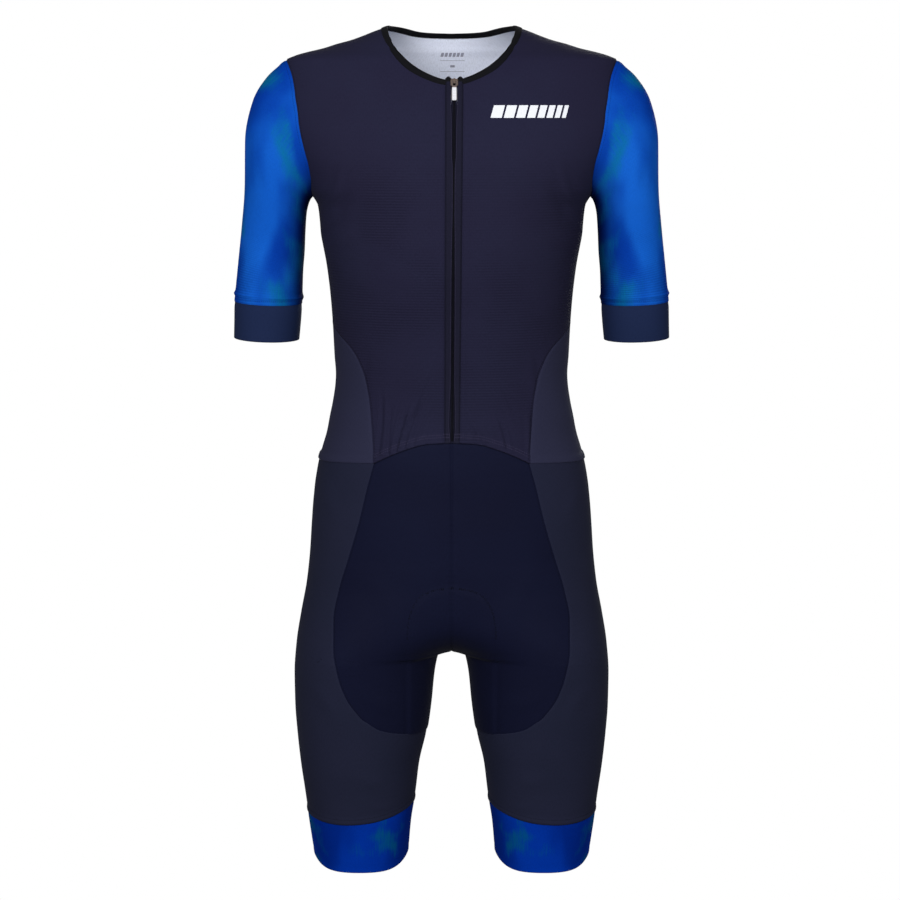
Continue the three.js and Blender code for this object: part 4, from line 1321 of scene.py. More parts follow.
    def sew_panel(self, sheet: Sheet, out: np.ndarray, sides: Sequence[str]) -> None:
        """Sews two rows along the turned hem and one beside each side seam."""
        for distance in self.hem_rows:
            self.hem_thread.sew(face_line(sheet, out, "bottom", distance), pitch=2.4)
        for side in sides:
            self.seam_thread.sew(face_line(sheet, out, side, 2.6), pitch=2.8)

    def gore(self, sign: float) -> bpy.types.Object:
        """Builds one side gore, from its point below the armhole to the waist."""
        name = "side_left" if sign > 0 else "side_right"
        down, across = crowded(84), crowded(44)
        tip = ((GORE_TIP - SIDE_SEAM_FOOT) / (WAIST_CORNER - SIDE_SEAM_FOOT)) ** (1 / 1.12)
        front = self.gore_edge(-1, between(tip, 1, down))
        back = self.gore_edge(1, between(tip, 1, down))
        top = places(between(front[0, 0], back[0, 0], across), GORE_TIP)
        bottom = places(between(front[-1, 0], back[-1, 0], across), waist_side_at(across))
        grid = patch(front, back, top, bottom, down, across)
        sheet = body_sheet(grid)
        sheet = sheet if sign > 0 else sheet.mirrored()
        edges = sheet.edges
        lift = 0.4 + 1.1 * np.sin(np.pi * across)
        hem = lift * (1 - smooth_step(5.5, 9.5, edges.bottom))
        crease = 0.5 * hump(sheet.points[..., 2] + 352, 12) * np.sin(np.clip(across, 0, 1) * np.pi)
        out = hem - crease + seam_dip(edges.left, edges.right, edges.top)
        round_hem = turned_edge(edges.bottom, 1.0)
        thick = CLOTH + 0.5 * hem - round_hem
        made = cloth(name + "_cloth", sheet, out - round_hem, thick, ("gore_jersey", "inside"))
        return declare(made, [name])

    def build(self) -> None:
        """Builds the five pieces and their sewing."""
        for sign in (1.0, -1.0):
            self.front(sign)
            self.gore(sign)
        self.back()
        self.hem_thread.finish()
        self.seam_thread.finish()


def declare(made: bpy.types.Object, nodes: Sequence[str]) -> bpy.types.Object:
    """Hides the solids that a cloth piece stands for.

    Args:
        made: the piece.
        nodes: the solids that it replaces.

    Returns:
        The piece.
    """
    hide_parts(*nodes)
    return made


# Sleeves and cuffs


@dataclass
class Arm:
    """A short set-in sleeve and its elastic cuff."""

    around: int = 150
    along: int = 104
    front_dip: float = 1.3
    cuff_droop: float = 1.5
    rings: tuple = SLEEVE_RINGS
    cuff_rings: tuple = CUFF_RINGS
    folds: tuple[Fold, ...] = (
        Fold(-0.9, 0.30, -0.1, 0.42, 0.05, 0.9, 0.02),
        Fold(-1.4, 0.46, -0.5, 0.60, 0.05, -0.8, 0.02),
    )

    thread: Sewing = field(default_factory=lambda: Sewing("sleeve_stitches", "blue_thread"))

    def ring_point(self, rings: Sequence, angle: np.ndarray, at: np.ndarray) -> np.ndarray:
        """Gives points of the tube: squared ellipses between an outer and an inner line."""
        value = [Curve([(row[0], row[k]) for row in rings])(at) for k in range(1, 7)]
        outer_x, outer_z, inner_x, inner_z, front, back = value
        along = signed_power(np.cos(angle), 2 / BodyForm.FULLNESS)
        depth = signed_power(np.sin(angle), 2 / BodyForm.FULLNESS)
        x = between(inner_x, outer_x, (1 + along) / 2)
        y = depth * np.where(angle < 0, front, back)
        z = between(inner_z, outer_z, (1 + along) / 2)
        dip = self.front_dip * np.maximum(0, -np.sin(angle)) ** 2
        droop = dip * at**4 if rings is self.rings else dip + self.cuff_droop * at
        return np.stack((x, y, z - droop), axis=-1)

    def cuff_point(self, angle: np.ndarray, at: np.ndarray) -> np.ndarray:
        """The cuff's points, from its seam to its open edge."""
        return self.ring_point(self.cuff_rings, angle, at)

    def sleeve_point(self, angle: np.ndarray, at: np.ndarray) -> np.ndarray:
        """The tube's points, drawn to the armhole over the sleeve's head."""
        fade = np.maximum(0, 1 - at / ARMHOLE_FADE) ** 2
        place = armhole_place(angle)
        head = BODY.point(place[..., 0], place[..., 1]) - self.ring_point(self.rings, angle, 0 * at)
        return self.ring_point(self.rings, angle, at) + head * fade[..., None]

    def surface(self, point: Callable, angle: np.ndarray, at: np.ndarray) -> tuple:
        """Points of a tube and the directions out of it, from small steps."""
        turn = point(angle + 0.02, at) - point(angle - 0.02, at)
        down = point(angle, at + 0.01) - point(angle, at - 0.01)
        return point(angle, at), unit(np.cross(down, turn))

    def weave(self, angle: np.ndarray, at: np.ndarray, length: float) -> np.ndarray:
        """Cloth coordinates in metres: round the tube and down it."""
        return np.stack((angle * 0.053, -at * length), axis=-1)

    def sleeve(self, sign: float) -> bpy.types.Object:
        """Builds a sleeve, whose end laps a little over the cuff below a soft roll."""
        name = "sleeve_left" if sign > 0 else "sleeve_right"
        angles = np.linspace(-np.pi, np.pi, self.around + 1)
        at = crowded(self.along)
        angle, place = np.meshgrid(angles, at)
        points, normals = self.surface(self.sleeve_point, angle, place)
        lap = np.array([0.012, 0.03, 0.05, 0.066, 0.08])
        lap_angle, lap_at = np.meshgrid(angles, lap)
        more = self.surface(self.cuff_point, lap_angle, lap_at)
        place_out = armhole_place(angles)
        _, head_normals = BODY.surface(place_out[:, 0], place_out[:, 1])
        blend = np.clip(place[..., None] / 0.10, 0, 1)
        normals = unit(between(head_normals[None], normals, blend))
        past_end = 1 + 0.17 * lap_at
        weave = np.concatenate((self.weave(angle, place, 0.25), self.weave(lap_angle, past_end, 0.25)))
        sheet = Sheet(np.concatenate((points, more[0])), np.concatenate((normals, more[1])), weave)
        sheet = sheet if sign > 0 else sheet.mirrored()
        edges = sheet.edges
        level = np.concatenate((place, past_end))
        full_angle = np.concatenate((angle, lap_angle))
        wobble = 1 + 0.25 * np.sin(3 * full_angle + 0.6 * sign)
        above_roll = edges.bottom - 8.0 - 1.2 * np.cos(full_angle)
        roll = 1.6 * hump(above_roll / wobble, np.where(above_roll > 0, 3.2, 1.3))
        head_roll = 0.9 * hump(edges.top - 5, 5) * hump(full_angle, 1.9)
        folds = folded(self.folds, full_angle, level)
        out = roll + head_roll + folds + seam_dip(edges.top, deep=0.8)
        self.thread.sew(face_line(sheet, out, "bottom", 5.0), pitch=2.2)
        self.thread.sew(face_line(sheet, out, "top", 2.6), pitch=2.8)
        out = out - turned_edge(edges.bottom, 1.0)
        made = cloth(name + "_cloth", sheet, out, SLEEVE_CLOTH, ("sleeve_knit", "inside"))
        return declare(made, [name])

    def cuff(self, sign: float) -> bpy.types.Object:
        """Builds a cuff: a doubled elastic band with a round lower edge."""
        name = "cuff_left" if sign > 0 else "cuff_right"
        angle, at = np.meshgrid(np.linspace(-np.pi, np.pi, self.around + 1), crowded(22))
        points, normals = self.surface(self.cuff_point, angle, at)
        sheet = Sheet(points, normals, self.weave(angle, at, 0.045))
        sheet = sheet if sign > 0 else sheet.mirrored()
        draw = 0.5 * hump(sheet.edges.top - 3.5, 4)
        edge = turned_edge(sheet.edges.bottom, 1.1)
        made = cloth(name + "_cloth", sheet, -draw - edge, BAND - 2 * edge, ("cuff_knit", "inside"))
        return declare(made, [name])

    def build(self) -> None:
        """Builds both arms and their sewing."""
        for sign in (1.0, -1.0):
            self.sleeve(sign)
            self.cuff(sign)
        self.thread.finish()


# Shorts


@dataclass
class Shorts:
    """Front, seat and side panels, and the elastic grippers at the legs."""

    rows: int = 110
    columns: int = 52
    side_rows: int = 150
    side_columns: int = 134
    side_steps: int = 11
    foot_steps: int = 6
    inseam_steps: int = 3
    down_shares: tuple = (0, 0.2, 0.4, 0.58, 0.74, 0.86, 0.94, 0.98, 1)
    below_crotch: tuple = (CROTCH - 2.9, -690, PANEL_FOOT)
    pad_edge: tuple = ((0, -577), (33, -586), (46.5, -611), (49, -637), (50, -668))
    front_folds: tuple[Fold, ...] = (
        Fold(8, -640, 34, -652, 5, 0.35, 3),
        Fold(16, -660, 34, -672, 4, 0.45, 2),
        Fold(96, -560, 60, -640, 14, 0.5, 8),
        Fold(60, -716, 108, -690, 10, 0.5, 5),
    )
    seat_folds: tuple[Fold, ...] = (
        Fold(20, -640, 92, -676, 8, -1.6, -6),
        Fold(26, -662, 84, -694, 7, 1.2, -5),
        Fold(40, -470, 96, -520, 16, 0.7, 6),
    )
    side_folds: tuple[Fold, ...] = (
        Fold(150, -462, 128, -520, 10, 0.6, 4),
        Fold(158, -690, 128, -740, 10, 0.6, 5),
        Fold(70, -806, 120, -790, 9, 0.6, 4),
        Fold(60, -838, 104, -826, 6, 0.5, 3),
    )

    thread: Sewing = field(default_factory=lambda: Sewing("shorts_stitches_and_painted_shadow", "dark_thread"))
    pad_thread: Sewing = field(default_factory=lambda: Sewing("pad_stitches", "pad_thread", 0.36))

    def seam(self, rows: Sequence, side: float, steps: np.ndarray) -> np.ndarray:
        """The seam round a front (-1) or seat (1) panel: down its side, then in to the inseam."""
        down = rows[: SEAM_CORNER + 1]
        t = np.clip(steps / self.side_steps, 0, 1)
        z = between(down[0][1], down[-1][1], t**0.85)
        first = places(BODY.share_at(Curve([(z_, x) for x, z_ in down])(z), z, side), z)
        under = rows[SEAM_CORNER:]
        shares = [float(BODY.share_at(x, z_, side)) for x, z_ in under] + [side]
        heights = [z_ for _, z_ in under] + [PANEL_FOOT]
        past_side = np.clip((steps - self.side_steps) / self.foot_steps, 0, 1)
        share = between(shares[0], side, past_side)
        last = places(share, Curve(list(zip(shares, heights)))(share))
        return np.where((steps > self.side_steps)[:, None], last, first)

    def panel_grid(self, rows: Sequence, side: float, waist: Callable) -> np.ndarray:
        """The places of a front or seat panel, from the centre line out to its seam."""
        down, across = crowded(self.rows), crowded(self.columns)
        start = float(waist(0.0))
        heights = [between(start, CROTCH, t) for t in self.down_shares] + [*self.below_crotch]
        left = places(side, Curve(list(enumerate(heights)))(down * self.side_steps))
        right = self.seam(rows, side, down * self.side_steps)
        x = between(0.0, rows[0][0], across)
        top = places(BODY.share_at(x, waist(x), side), waist(x))
        top[0], top[-1] = left[0], right[0]
        bottom = self.seam(rows, side, self.side_steps + self.foot_steps * (1 - across) + 1e-9)
        bottom[-1] = right[-1]
        bottom[0] = left[-1]
        return patch(left, right, top, bottom, down, across)

    def pad_relief(self, x: np.ndarray, z: np.ndarray, side: float) -> np.ndarray:
        """The edge of the pad inside shows as a low step under the cloth."""
        reach = Curve([(height, wide) for wide, height in self.pad_edge])(z)
        inside = reach - x
        below = smooth_step(-574, -580, z)
        if side > 0:
            return 0.8 * smooth_step(-4, 4, inside) * below
        return (1.2 * smooth_step(-2.5, 3.5, inside) - 0.7 * hump(inside, 2.2)) * below

    def panel(self, sign: float, side: float) -> bpy.types.Object:
        """Builds a front or seat panel."""
        front = side < 0
        rows = FRONT_PANEL_SEAM if front else SEAT_PANEL_SEAM
        waist = ARCH_AT if front else back_waist_at
        sheet = body_sheet(self.panel_grid(rows, side, waist))
        sheet = sheet if sign > 0 else sheet.mirrored()
        x, z = np.abs(sheet.points[..., 0]), sheet.points[..., 2]
        folds = self.front_folds if front else self.seat_folds
        edges = sheet.edges
        out = folded(folds, x, z) + self.pad_relief(x, z, side)
        out = out + seam_dip(edges.right, edges.bottom, deep=0.4) + seam_dip(edges.left, deep=1.2, width=1.5)
        out = out - 0.9 * hump(edges.top, 2.2)
        self.thread.sew(face_line(sheet, out, "right", 2.2), pitch=2.8)
        # Painted shade: a dense row of dark thread just under the hem of the bodice stands in for the shadow
        # line there.
        self.thread.sew(face_line(sheet, out, "top", 0.6), pitch=1.5)
        name = ("shorts_front" if front else "seat") + ("_left" if sign > 0 else "_right")
        made = cloth(name + "_cloth", sheet, out, CLOTH, ("navy_lycra", "inside"))
        return declare(made, [name])

    def side_edge(self, rows: Sequence, side: float, down: np.ndarray) -> np.ndarray:
        """The side panel's edge: a panel's seam to its foot, then the inseam to the gripper."""
        seam_steps = self.side_steps + self.foot_steps
        steps = down * (seam_steps + self.inseam_steps)
        tail = np.clip((steps - seam_steps) / self.inseam_steps, 0, 1)
        inseam = places(side, between(PANEL_FOOT, leg_seam_at(side), tail))
        seam = self.seam(rows, side, np.minimum(steps, seam_steps))
        return np.where((steps > seam_steps)[:, None], inseam, seam)

    def side(self, sign: float) -> bpy.types.Object:
        """Builds a side and leg panel."""
        name = "shorts_side_left" if sign > 0 else "shorts_side_right"
        down, across = crowded(self.side_rows), crowded(self.side_columns)
        left = self.side_edge(FRONT_PANEL_SEAM, -1.0, down)
        right = self.side_edge(SEAT_PANEL_SEAM, 1.0, down)
        top = places(between(left[0, 0], right[0, 0], across), waist_side_at(across))
        share = between(-1, 1, across)
        bottom = places(share, leg_seam_at(share))
        sheet = body_sheet(patch(left, right, top, bottom, down, across))
        sheet = sheet if sign > 0 else sheet.mirrored()
        edges = sheet.edges
        x, z = np.abs(sheet.points[..., 0]), sheet.points[..., 2]
        lower = 1.2 * hump(edges.bottom - 2.8, 2.0) - 0.4 * hump(edges.bottom - 6.6, 1.4)
        out = folded(self.side_folds, x, z) + lower + seam_dip(edges.left, edges.right, deep=0.4)
        self.thread.sew(face_line(sheet, out, "bottom", 6.6), pitch=2.6)
        out = out - 0.25 * hump(edges.top, 2.5) - turned_edge(edges.bottom, 1.0)
        made = cloth(name + "_cloth", sheet, out, CLOTH, ("side_jersey", "inside"))
        return declare(made, [name])

    def gripper(self, sign: float) -> bpy.types.Object:
        """Builds a leg gripper: a doubled elastic band with a round hem."""
        name = "gripper_left" if sign > 0 else "gripper_right"
        down, across = crowded(24), crowded(150)
        share = between(-1, 1, across)[None]
        z = between(leg_seam_at(share), hem_at(share), down[:, None])
        sheet = body_sheet(places(np.broadcast_to(share, z.shape), z))
        sheet = sheet if sign > 0 else sheet.mirrored()
        edge = turned_edge(sheet.edges.bottom, 1.1)
        dip = -0.3 * hump(sheet.edges.top, 2.5)
        channel = -0.25 * hump(sheet.edges.bottom - 7, 1.6)
        out = dip + channel - edge + 0.2
        made = cloth(name + "_cloth", sheet, out, BAND - 2 * edge, ("gripper_knit", "inside"))
        return declare(made, [name])

    def pad_stitches(self) -> None:
        """Sews the zigzag that holds the pad, as an arch over the two front panels."""
        turn = np.linspace(0, 1, 60)
        edge = np.array(self.pad_edge[:-1], float)
        run = np.concatenate(([0], np.cumsum(np.linalg.norm(np.diff(edge, axis=0), axis=1))))
        x, z = (natural_spline(run, values, turn * run[-1]) for values in edge.T)
        points, normals = BODY.surface(BODY.share_at(x, z), z)
        out = folded(self.front_folds, x, z) + self.pad_relief(x, z, -1.0)
        points = points + normals * out[:, None]
        flip = np.array([-1.0, 1.0, 1.0])
        arch = Line(np.concatenate(((points * flip)[:0:-1], points)),
                    np.concatenate(((normals * flip)[:0:-1], normals)))
        self.pad_thread.sew(arch, Stitch.ZIGZAG, 2.2, 3.2)

    def build(self) -> None:
        """Builds the eight pieces and their sewing."""
        for sign in (1.0, -1.0):
            self.panel(sign, -1.0)
            self.panel(sign, 1.0)
            self.side(sign)
            self.gripper(sign)
        self.pad_stitches()
        self.thread.finish()
        self.pad_thread.finish()


# Neck and zip


@dataclass
class Neck:
    """The folded binding round the neck, from one side of the zip to the other."""

    steps: int = 150
    across: int = 14
    back_lap: float = 2.2

    thread: Sewing = field(default_factory=lambda: Sewing("binding_stitches", "dark_thread"))

    def half(self, sign: float) -> tuple[np.ndarray, np.ndarray]:
        """Shares, seam heights and edge heights of one half, from the zip to the centre back."""
        foot = NECK_SEAM_AT(ZIP_SHARE)
        start = float(BODY.share_at(tape_edge(foot) + sign * zip_line(foot), foot))
        share = between(start, 1.0, np.linspace(0, 1, self.steps))
        v = np.linspace(0, 1, self.across + 1)[:, None]
        lower = NECK_SEAM_AT(share) - self.back_lap * smooth_step(0.5, 0.9, share)
        z = between(lower, NECK_EDGE_AT(share), v)
        return BODY.surface(np.broadcast_to(share, z.shape), z)

    def build(self) -> None:
        """Builds the strip with a swollen, round section."""
        flip = np.array([-1.0, 1.0, 1.0])
        left, left_out = self.half(1.0)
        right, right_out = self.half(-1.0)
        points = np.concatenate((left, (right * flip)[:, -2::-1]), axis=1)
        normals = np.concatenate((left_out, (right_out * flip)[:, -2::-1]), axis=1)
        points[:, self.steps - 1, 0] = 0
        rows, columns = points.shape[:2]
        run = np.cumsum(np.linalg.norm(np.diff(points[0], axis=0, prepend=points[0, :1]), axis=-1))
        v = np.linspace(0, 1, rows)[:, None]
        weave = np.stack(np.broadcast_arrays(run[None] * MM, v * 0.009), axis=-1)
        sheet = Sheet(points, normals, weave)
        swell = np.sqrt(np.clip(1 - np.abs(2 * v - 1) ** 3.2, 0, 1))
        out = 0.35 + 0.75 * np.broadcast_to(swell, (rows, columns)) - 0.3 * hump(sheet.edges.top - 1.9, 0.7)
        at_back = smooth_step(15, 55, points[..., 1])
        thick = 1.0 + 1.0 * np.broadcast_to(swell, out.shape) + 0.9 * at_back
        self.thread.sew(face_line(sheet, out, "top", 1.9), pitch=2.4)
        self.thread.finish()
        made = cloth("neck_binding_cloth", sheet, out, thick, ("binding", "binding"))
        declare(made, ["neck_binding"])


@dataclass
class Zip:
    """The zip: facings beside it, two rows of coil turns between them, and its metal parts."""

    tooth_pitch: float = 1.35
    rows: int = 260
    round_top: float = 3.6
    cap_height: float = 5.5
    thread: Sewing = field(default_factory=lambda: Sewing("zip_stitches", "dark_thread"))
    tack_thread: Sewing = field(default_factory=lambda: Sewing("zip_bar_tacks", "thread", 0.2))

    def facing(self, sign: float, foot: float, grow: float = 0.0, rows: int = 260) -> tuple:
        """Gives a facing's grid from its round top down to a height.

        Its inner edge follows the gap's table, its outer edge the front's edge, and its top is
        half an ellipse.

        Args:
            sign: 1 for the wearer's left and -1 for the right.
            foot: the height at which it ends.
            grow: how much wider it is than the facing itself.
            rows: steps down it.

        Returns:
            The sheet and the swell of its section, from 0 at both edges to 1.
        """
        t = np.linspace(0, 1, rows + 1)[:, None] ** 1.15
        u = crowded(12)[None]
        z = between(TAPE_TOP + grow, foot, t)
        drop = np.clip((TAPE_TOP + grow - z) / self.round_top, 0, 1)
        full = np.maximum(np.sqrt(drop * (2 - drop)), 0.45)
        low, high = Curve(ZIP_GAP)(z) - grow, tape_edge(z) + 0.8
        middle = (low + high) / 2
        x = between(between(middle, low, full), between(middle, high, full), u) + sign * zip_line(z)
        z = np.where((t == 1) & (foot <= WAIST_FRONT), ARCH_AT(np.abs(x)), np.broadcast_to(z, x.shape))
        points, normals = BODY.surface(BODY.share_at(x, z), z)
        weave = np.stack((np.broadcast_to(u * 0.007, x.shape), z * MM), axis=-1)
        sheet = Sheet(points, normals, weave)
        swell = np.sqrt(np.clip(1 - np.abs(2 * u - 1) ** 2.6, 0, 1))
        return sheet if sign > 0 else sheet.mirrored(), np.broadcast_to(swell, x.shape)

    def strip(self, sign: float) -> bpy.types.Object:
        """Builds the facing beside the coil, with a row of stitches near its outer edge."""
        side = "left" if sign > 0 else "right"
        sheet, swell = self.facing(sign, WAIST_FRONT)
        edges = sheet.edges
        out = 0.1 + 1.0 * swell + 0.25 * hump(edges.left - 1.0, 0.7) - 1.3 * hump(edges.right, 1.0)
        out = out - 0.6 * (1 - smooth_step(0, 3, edges.top))
        self.thread.sew(face_line(sheet, out, "right", 1.9), pitch=2.6)
        self.tack_thread.sew(face_line(sheet, out, "left", 0.9), pitch=1.9)
        made = cloth(f"zip_tape_{side}_cloth", sheet, out, 0.5 + 1.9 * swell, ("zip_tape", "zip_tape"))
        declare(made, [f"zip_tape_{side}"])
        for height in (-406.0, -409.5):
            self.bar_tack(sign, height)
        cap, cap_swell = self.facing(sign, TAPE_TOP - self.cap_height, 0.35, 24)
        fade = 1 - 0.5 * smooth_step(2.5, 0, cap.edges.bottom)
        made = cloth(f"zip_cap_{side}", cap, (0.25 + 1.5 * cap_swell) * fade, 0.8 + 2.6 * cap_swell,
                     ("binding", "binding"))
        return made

    def bar_tack(self, sign: float, z: float) -> None:
        """Sews a short dense bar across a facing near its foot."""
        x = np.linspace(2.4, 10.5, 20) + sign * zip_line(z)
        points, normals = BODY.surface(BODY.share_at(x, z), z)
        flip = np.array([sign, 1.0, 1.0])
        self.tack_thread.sew(Line((points + normals * 1.15) * flip, normals * flip), Stitch.ZIGZAG, 0.8, 1.3)

    def coil(self) -> bpy.types.Object:
        """Builds the two rows of coil turns, each a short bent rod, on a narrow woven strip."""
        zs = np.arange(COIL_TOP, WAIST_FRONT + 2, -self.tooth_pitch)
        made_points, made_faces = [], []
        ring = np.linspace(0, 2 * np.pi, 7)[:-1]
        reach = np.linspace(0, 1, 5)
        for side, shift in ((1.0, 0.0), (-1.0, self.tooth_pitch / 2)):
            z = zs - shift
            share = BODY.share_at(np.abs(zip_line(z)), z)
            centre, out = BODY.surface(share, z)
            centre[:, 0] = zip_line(z)
            across = np.array([side, 0.0, 0.0])
            up = unit(np.cross(out, across) * side)
            path = -0.5 + 2.4 * reach
            lift = 0.15 + 0.55 * np.sin(np.pi * np.clip(reach * 0.9 + 0.05, 0, 1))
            radius = 0.42 * np.sqrt(np.clip(1 - (2 * reach - 1) ** 6, 0.08, 1))
            rise = lift[None, :, None] - 0.5
            rod = centre[:, None] + across * path[None, :, None] + out[:, None] * rise
            circle = (np.cos(ring)[None, None, :, None] * up[:, None, None]
                      + np.sin(ring)[None, None, :, None] * out[:, None, None])
            points = rod[:, :, None] + circle * radius[None, :, None, None]
            base = sum(len(p) for p in made_points)
            count = points.shape[0]
            local = np.arange(len(reach) * 6).reshape(len(reach), 6)
            after = np.roll(local, -1, axis=1)
            quads = np.stack((local[:-1], after[:-1], after[1:], local[1:]), axis=-1).reshape(-1, 4)
            caps = np.array([[0, 5, 4, 3], [3, 2, 1, 0], [24, 25, 26, 27], [27, 28, 29, 24]])
            unit_faces = np.concatenate((quads, caps))
            unit_faces = unit_faces if side > 0 else unit_faces[:, ::-1]
            faces = (unit_faces[None] + (np.arange(count) * 30)[:, None, None]).reshape(-1, 4) + base
            made_points.append(points.reshape(-1, 3))
            made_faces.append(faces)
        points, faces = np.concatenate(made_points), np.concatenate(made_faces)
        made = new_object("zip_coil_teeth", points, faces, ("zip_coil",))
        self.backing()
        return made

    def backing(self) -> None:
        """Builds the woven strip under the coil, which stands for the coil's solid."""
        t = np.linspace(0, 1, self.rows + 1)[:, None]
        u = np.linspace(-1, 1, 7)[None]
        z = np.broadcast_to(between(COIL_TOP, WAIST_FRONT, t), (self.rows + 1, 7))
        x = COIL_HALF * 1.4 * u + zip_line(z)
        points, normals = BODY.surface(BODY.share_at(x, z), z)
        weave = np.stack((x * MM, z * MM), axis=-1)
        sheet = Sheet(points, normals, weave)
        made = cloth("zip_coil_backing", sheet, np.full(x.shape, -0.75), 0.7, ("zip_tape", "zip_tape"))
        declare(made, ["zip_coil"])

    def hardware(self) -> None:
        """Gives the slider and the pull tab their metal."""
        for node, slot in (("zip_slider", "zip_metal"), ("zip_pull", "pull_metal")):
            made = frame["nodes"][node]
            made.data.materials.clear()
            made.data.materials.append(PALETTE.material(slot))

    def build(self) -> None:
        """Builds the facings and the coil and dresses the metal."""
        for sign in (1.0, -1.0):
            self.strip(sign)
        self.thread.finish()
        self.tack_thread.finish()
        self.coil()
        self.hardware()


# Marks


@dataclass
class Marks:
    """Plain slanted bars on the chest, and a plain label printed inside the back of the neck."""

    chest_from: float = 44.0
    chest_widths: tuple[float, float, int] = (12.0, 4.5, 8)
    chest_gap: float = 2.3
    chest_top: float = -48.0
    chest_foot: float = -61.5
    slant: float = 0.28
    label_middle: float = 1.0
    label_half: float = 14.0
    relief: tuple[Fold, ...] = Bodice.front_folds

    def bar(self, x0: float, x1: float, z0: float, z1: float, inside: bool, slant: float = 0.0) -> Wall:
        """Makes one thin bar that follows the cloth.

        Args:
            x0: where it starts, from the centre line.
            x1: where it ends.
            z0: its upper edge.
            z1: its lower edge.
            inside: on the inner face of the back, and not on the outer face of the front.
            slant: how far its top leans for each unit of height.

        Returns:
            The bar.
        """
        z, x = np.meshgrid(np.linspace(z0, z1, 8), np.linspace(x0, x1, 8), indexing="ij")
        x = x + slant * (z - (z0 + z1) / 2)
        points, normals = BODY.surface(BODY.share_at(np.abs(x), z, 1.0 if inside else -1.0), z)
        flip = np.stack((np.sign(x), np.ones_like(x), np.ones_like(x)), axis=-1)
        turn = -1.0 if inside else 1.0
        sheet = Sheet(points * flip, normals * flip * turn, np.zeros((*x.shape, 2)))
        inner = CLOTH + Bodice.hem_lift / 2 + 0.1
        out = inner if inside else folded(self.relief, np.abs(x), z) + 0.12
        return wall_of(sheet, out, 0.3)

    def build(self) -> None:
        """Builds the chest bars and the label."""
        widths = np.linspace(*self.chest_widths)
        starts = self.chest_from + np.concatenate(([0], np.cumsum(widths[:-1] + self.chest_gap)))
        bars = [self.bar(x, x + width, self.chest_top, self.chest_foot, False, self.slant)
                for x, width in zip(starts, widths)]
        left, right = self.label_middle - self.label_half, self.label_middle + self.label_half
        small = np.linspace(left + 0.8, right - 4.4, 6)
        label = [self.bar(x, x + 3.2, 13.0, 8.6, True, self.slant) for x in small]
        label += [self.bar(left, right, z + 0.25, z - 0.25, True) for z in (4.0, -8.4)]
        label.append(self.bar(-1.6, 3.6, -1.0, -3.6, True))
        for name, slot, walls in (("chest_bars", "reflective", bars), ("neck_label", "label_ink", label)):
            made = joined(walls)
            new_object(name, made.points, made.faces, (slot,))


# Camera, light and floor


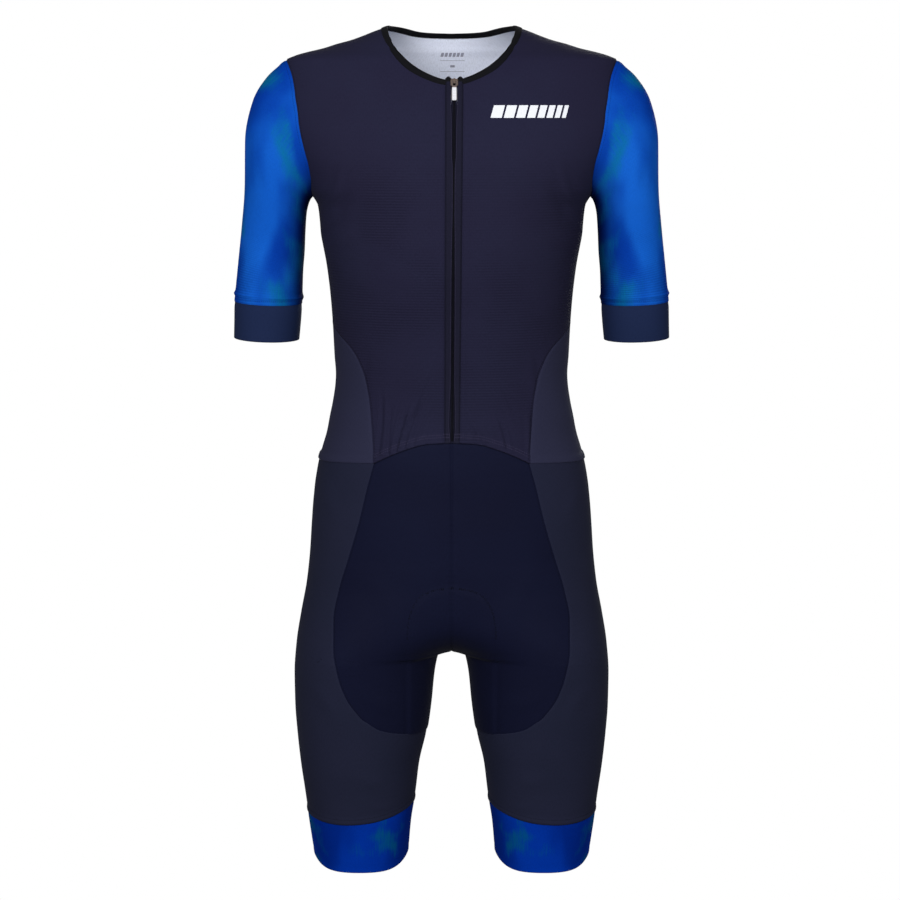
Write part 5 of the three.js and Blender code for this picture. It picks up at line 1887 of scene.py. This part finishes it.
@dataclass
class Studio:
    """A plain pale floor far below the suit, soft light and the photograph's viewpoint."""

    distance: float = 3.0
    height: float = -0.053
    pitch: float = 7.265
    view_half: float = 9.575
    side_step: float = -0.0018
    floor: float = -1.5
    key: float = 84.0
    ambient: float = 0.25

    def camera(self) -> None:
        """Places the camera."""
        data = bpy.data.cameras.new("camera")
        data.sensor_width = 36
        data.lens = 18 / math.tan(math.radians(self.view_half))
        made = bpy.data.objects.new("camera", data)
        made.location = (self.side_step, -self.distance, self.height)
        made.rotation_euler = (math.radians(90 - self.pitch), 0, 0)
        bpy.context.scene.collection.objects.link(made)
        bpy.context.scene.camera = made

    def lamp(self, name: str, place: tuple, size: float, watts: float) -> None:
        """Adds a soft square lamp that faces the suit's middle."""
        data = bpy.data.lights.new(name, "AREA")
        data.size = size
        data.energy = watts
        made = bpy.data.objects.new(name, data)
        made.location = place
        aim = np.array([0.0, 0.0, -0.1]) - np.array(place)
        flat = math.hypot(aim[0], aim[1])
        made.rotation_euler = (math.atan2(flat, -aim[2]), 0, math.atan2(-aim[0], aim[1]))
        bpy.context.scene.collection.objects.link(made)

    def world(self) -> None:
        """A white surround to the eye that lights the suit more dimly."""
        world = bpy.data.worlds.new("studio")
        bpy.context.scene.world = world
        world.use_nodes = True
        tree = world.node_tree
        tree.nodes.clear()
        path = tree.nodes.new("ShaderNodeLightPath")
        strength = tree.nodes.new("ShaderNodeMapRange")
        strength.inputs["To Min"].default_value = self.ambient
        strength.inputs["To Max"].default_value = 1.0
        ground = tree.nodes.new("ShaderNodeBackground")
        output = tree.nodes.new("ShaderNodeOutputWorld")
        tree.links.new(path.outputs["Is Camera Ray"], strength.inputs["Value"])
        tree.links.new(strength.outputs["Result"], ground.inputs["Strength"])
        tree.links.new(ground.outputs["Background"], output.inputs["Surface"])
        ground.inputs["Color"].default_value = (1, 1, 1, 1)

    def ground(self) -> None:
        """Lays the floor."""
        shader = Shader("floor")
        values = {"Base Color": (0, 0, 0, 1), "Roughness": 0.9, "Emission Color": (1, 1, 1, 1),
                  "Emission Strength": 1.0, "Specular IOR Level": 0.0}
        material = shader.finish(values)
        mesh = bpy.data.meshes.new("floor")
        far = 30
        corners = [(x * far, y * far, self.floor) for x, y in ((-1, -1), (1, -1), (1, 1), (-1, 1))]
        mesh.from_pydata(corners, [], [(0, 1, 2, 3)])
        mesh.materials.append(material)
        made = bpy.data.objects.new("floor", mesh)
        made.visible_diffuse = False
        made.visible_glossy = False
        bpy.context.scene.collection.objects.link(made)

    def build(self) -> None:
        """Sets up the studio."""
        self.camera()
        self.world()
        self.lamp("key", (-1.1, -2.6, 0.7), 1.5, self.key)
        self.lamp("fill", (1.4, -2.5, 0.4), 1.5, self.key * 0.6)
        self.lamp("behind", (0.7, 2.8, 0.6), 1.6, self.key * 0.6)
        self.ground()
        bpy.context.scene.view_settings.view_transform = "Standard"


def main() -> None:
    """Builds the suit, part by part, and then the studio round it."""
    logging.basicConfig(level=logging.INFO, format="%(message)s")
    Bodice().build()
    Arm().build()
    Shorts().build()
    Neck().build()
    Zip().build()
    Marks().build()
    Studio().build()


if __name__ == "__main__":
    main()
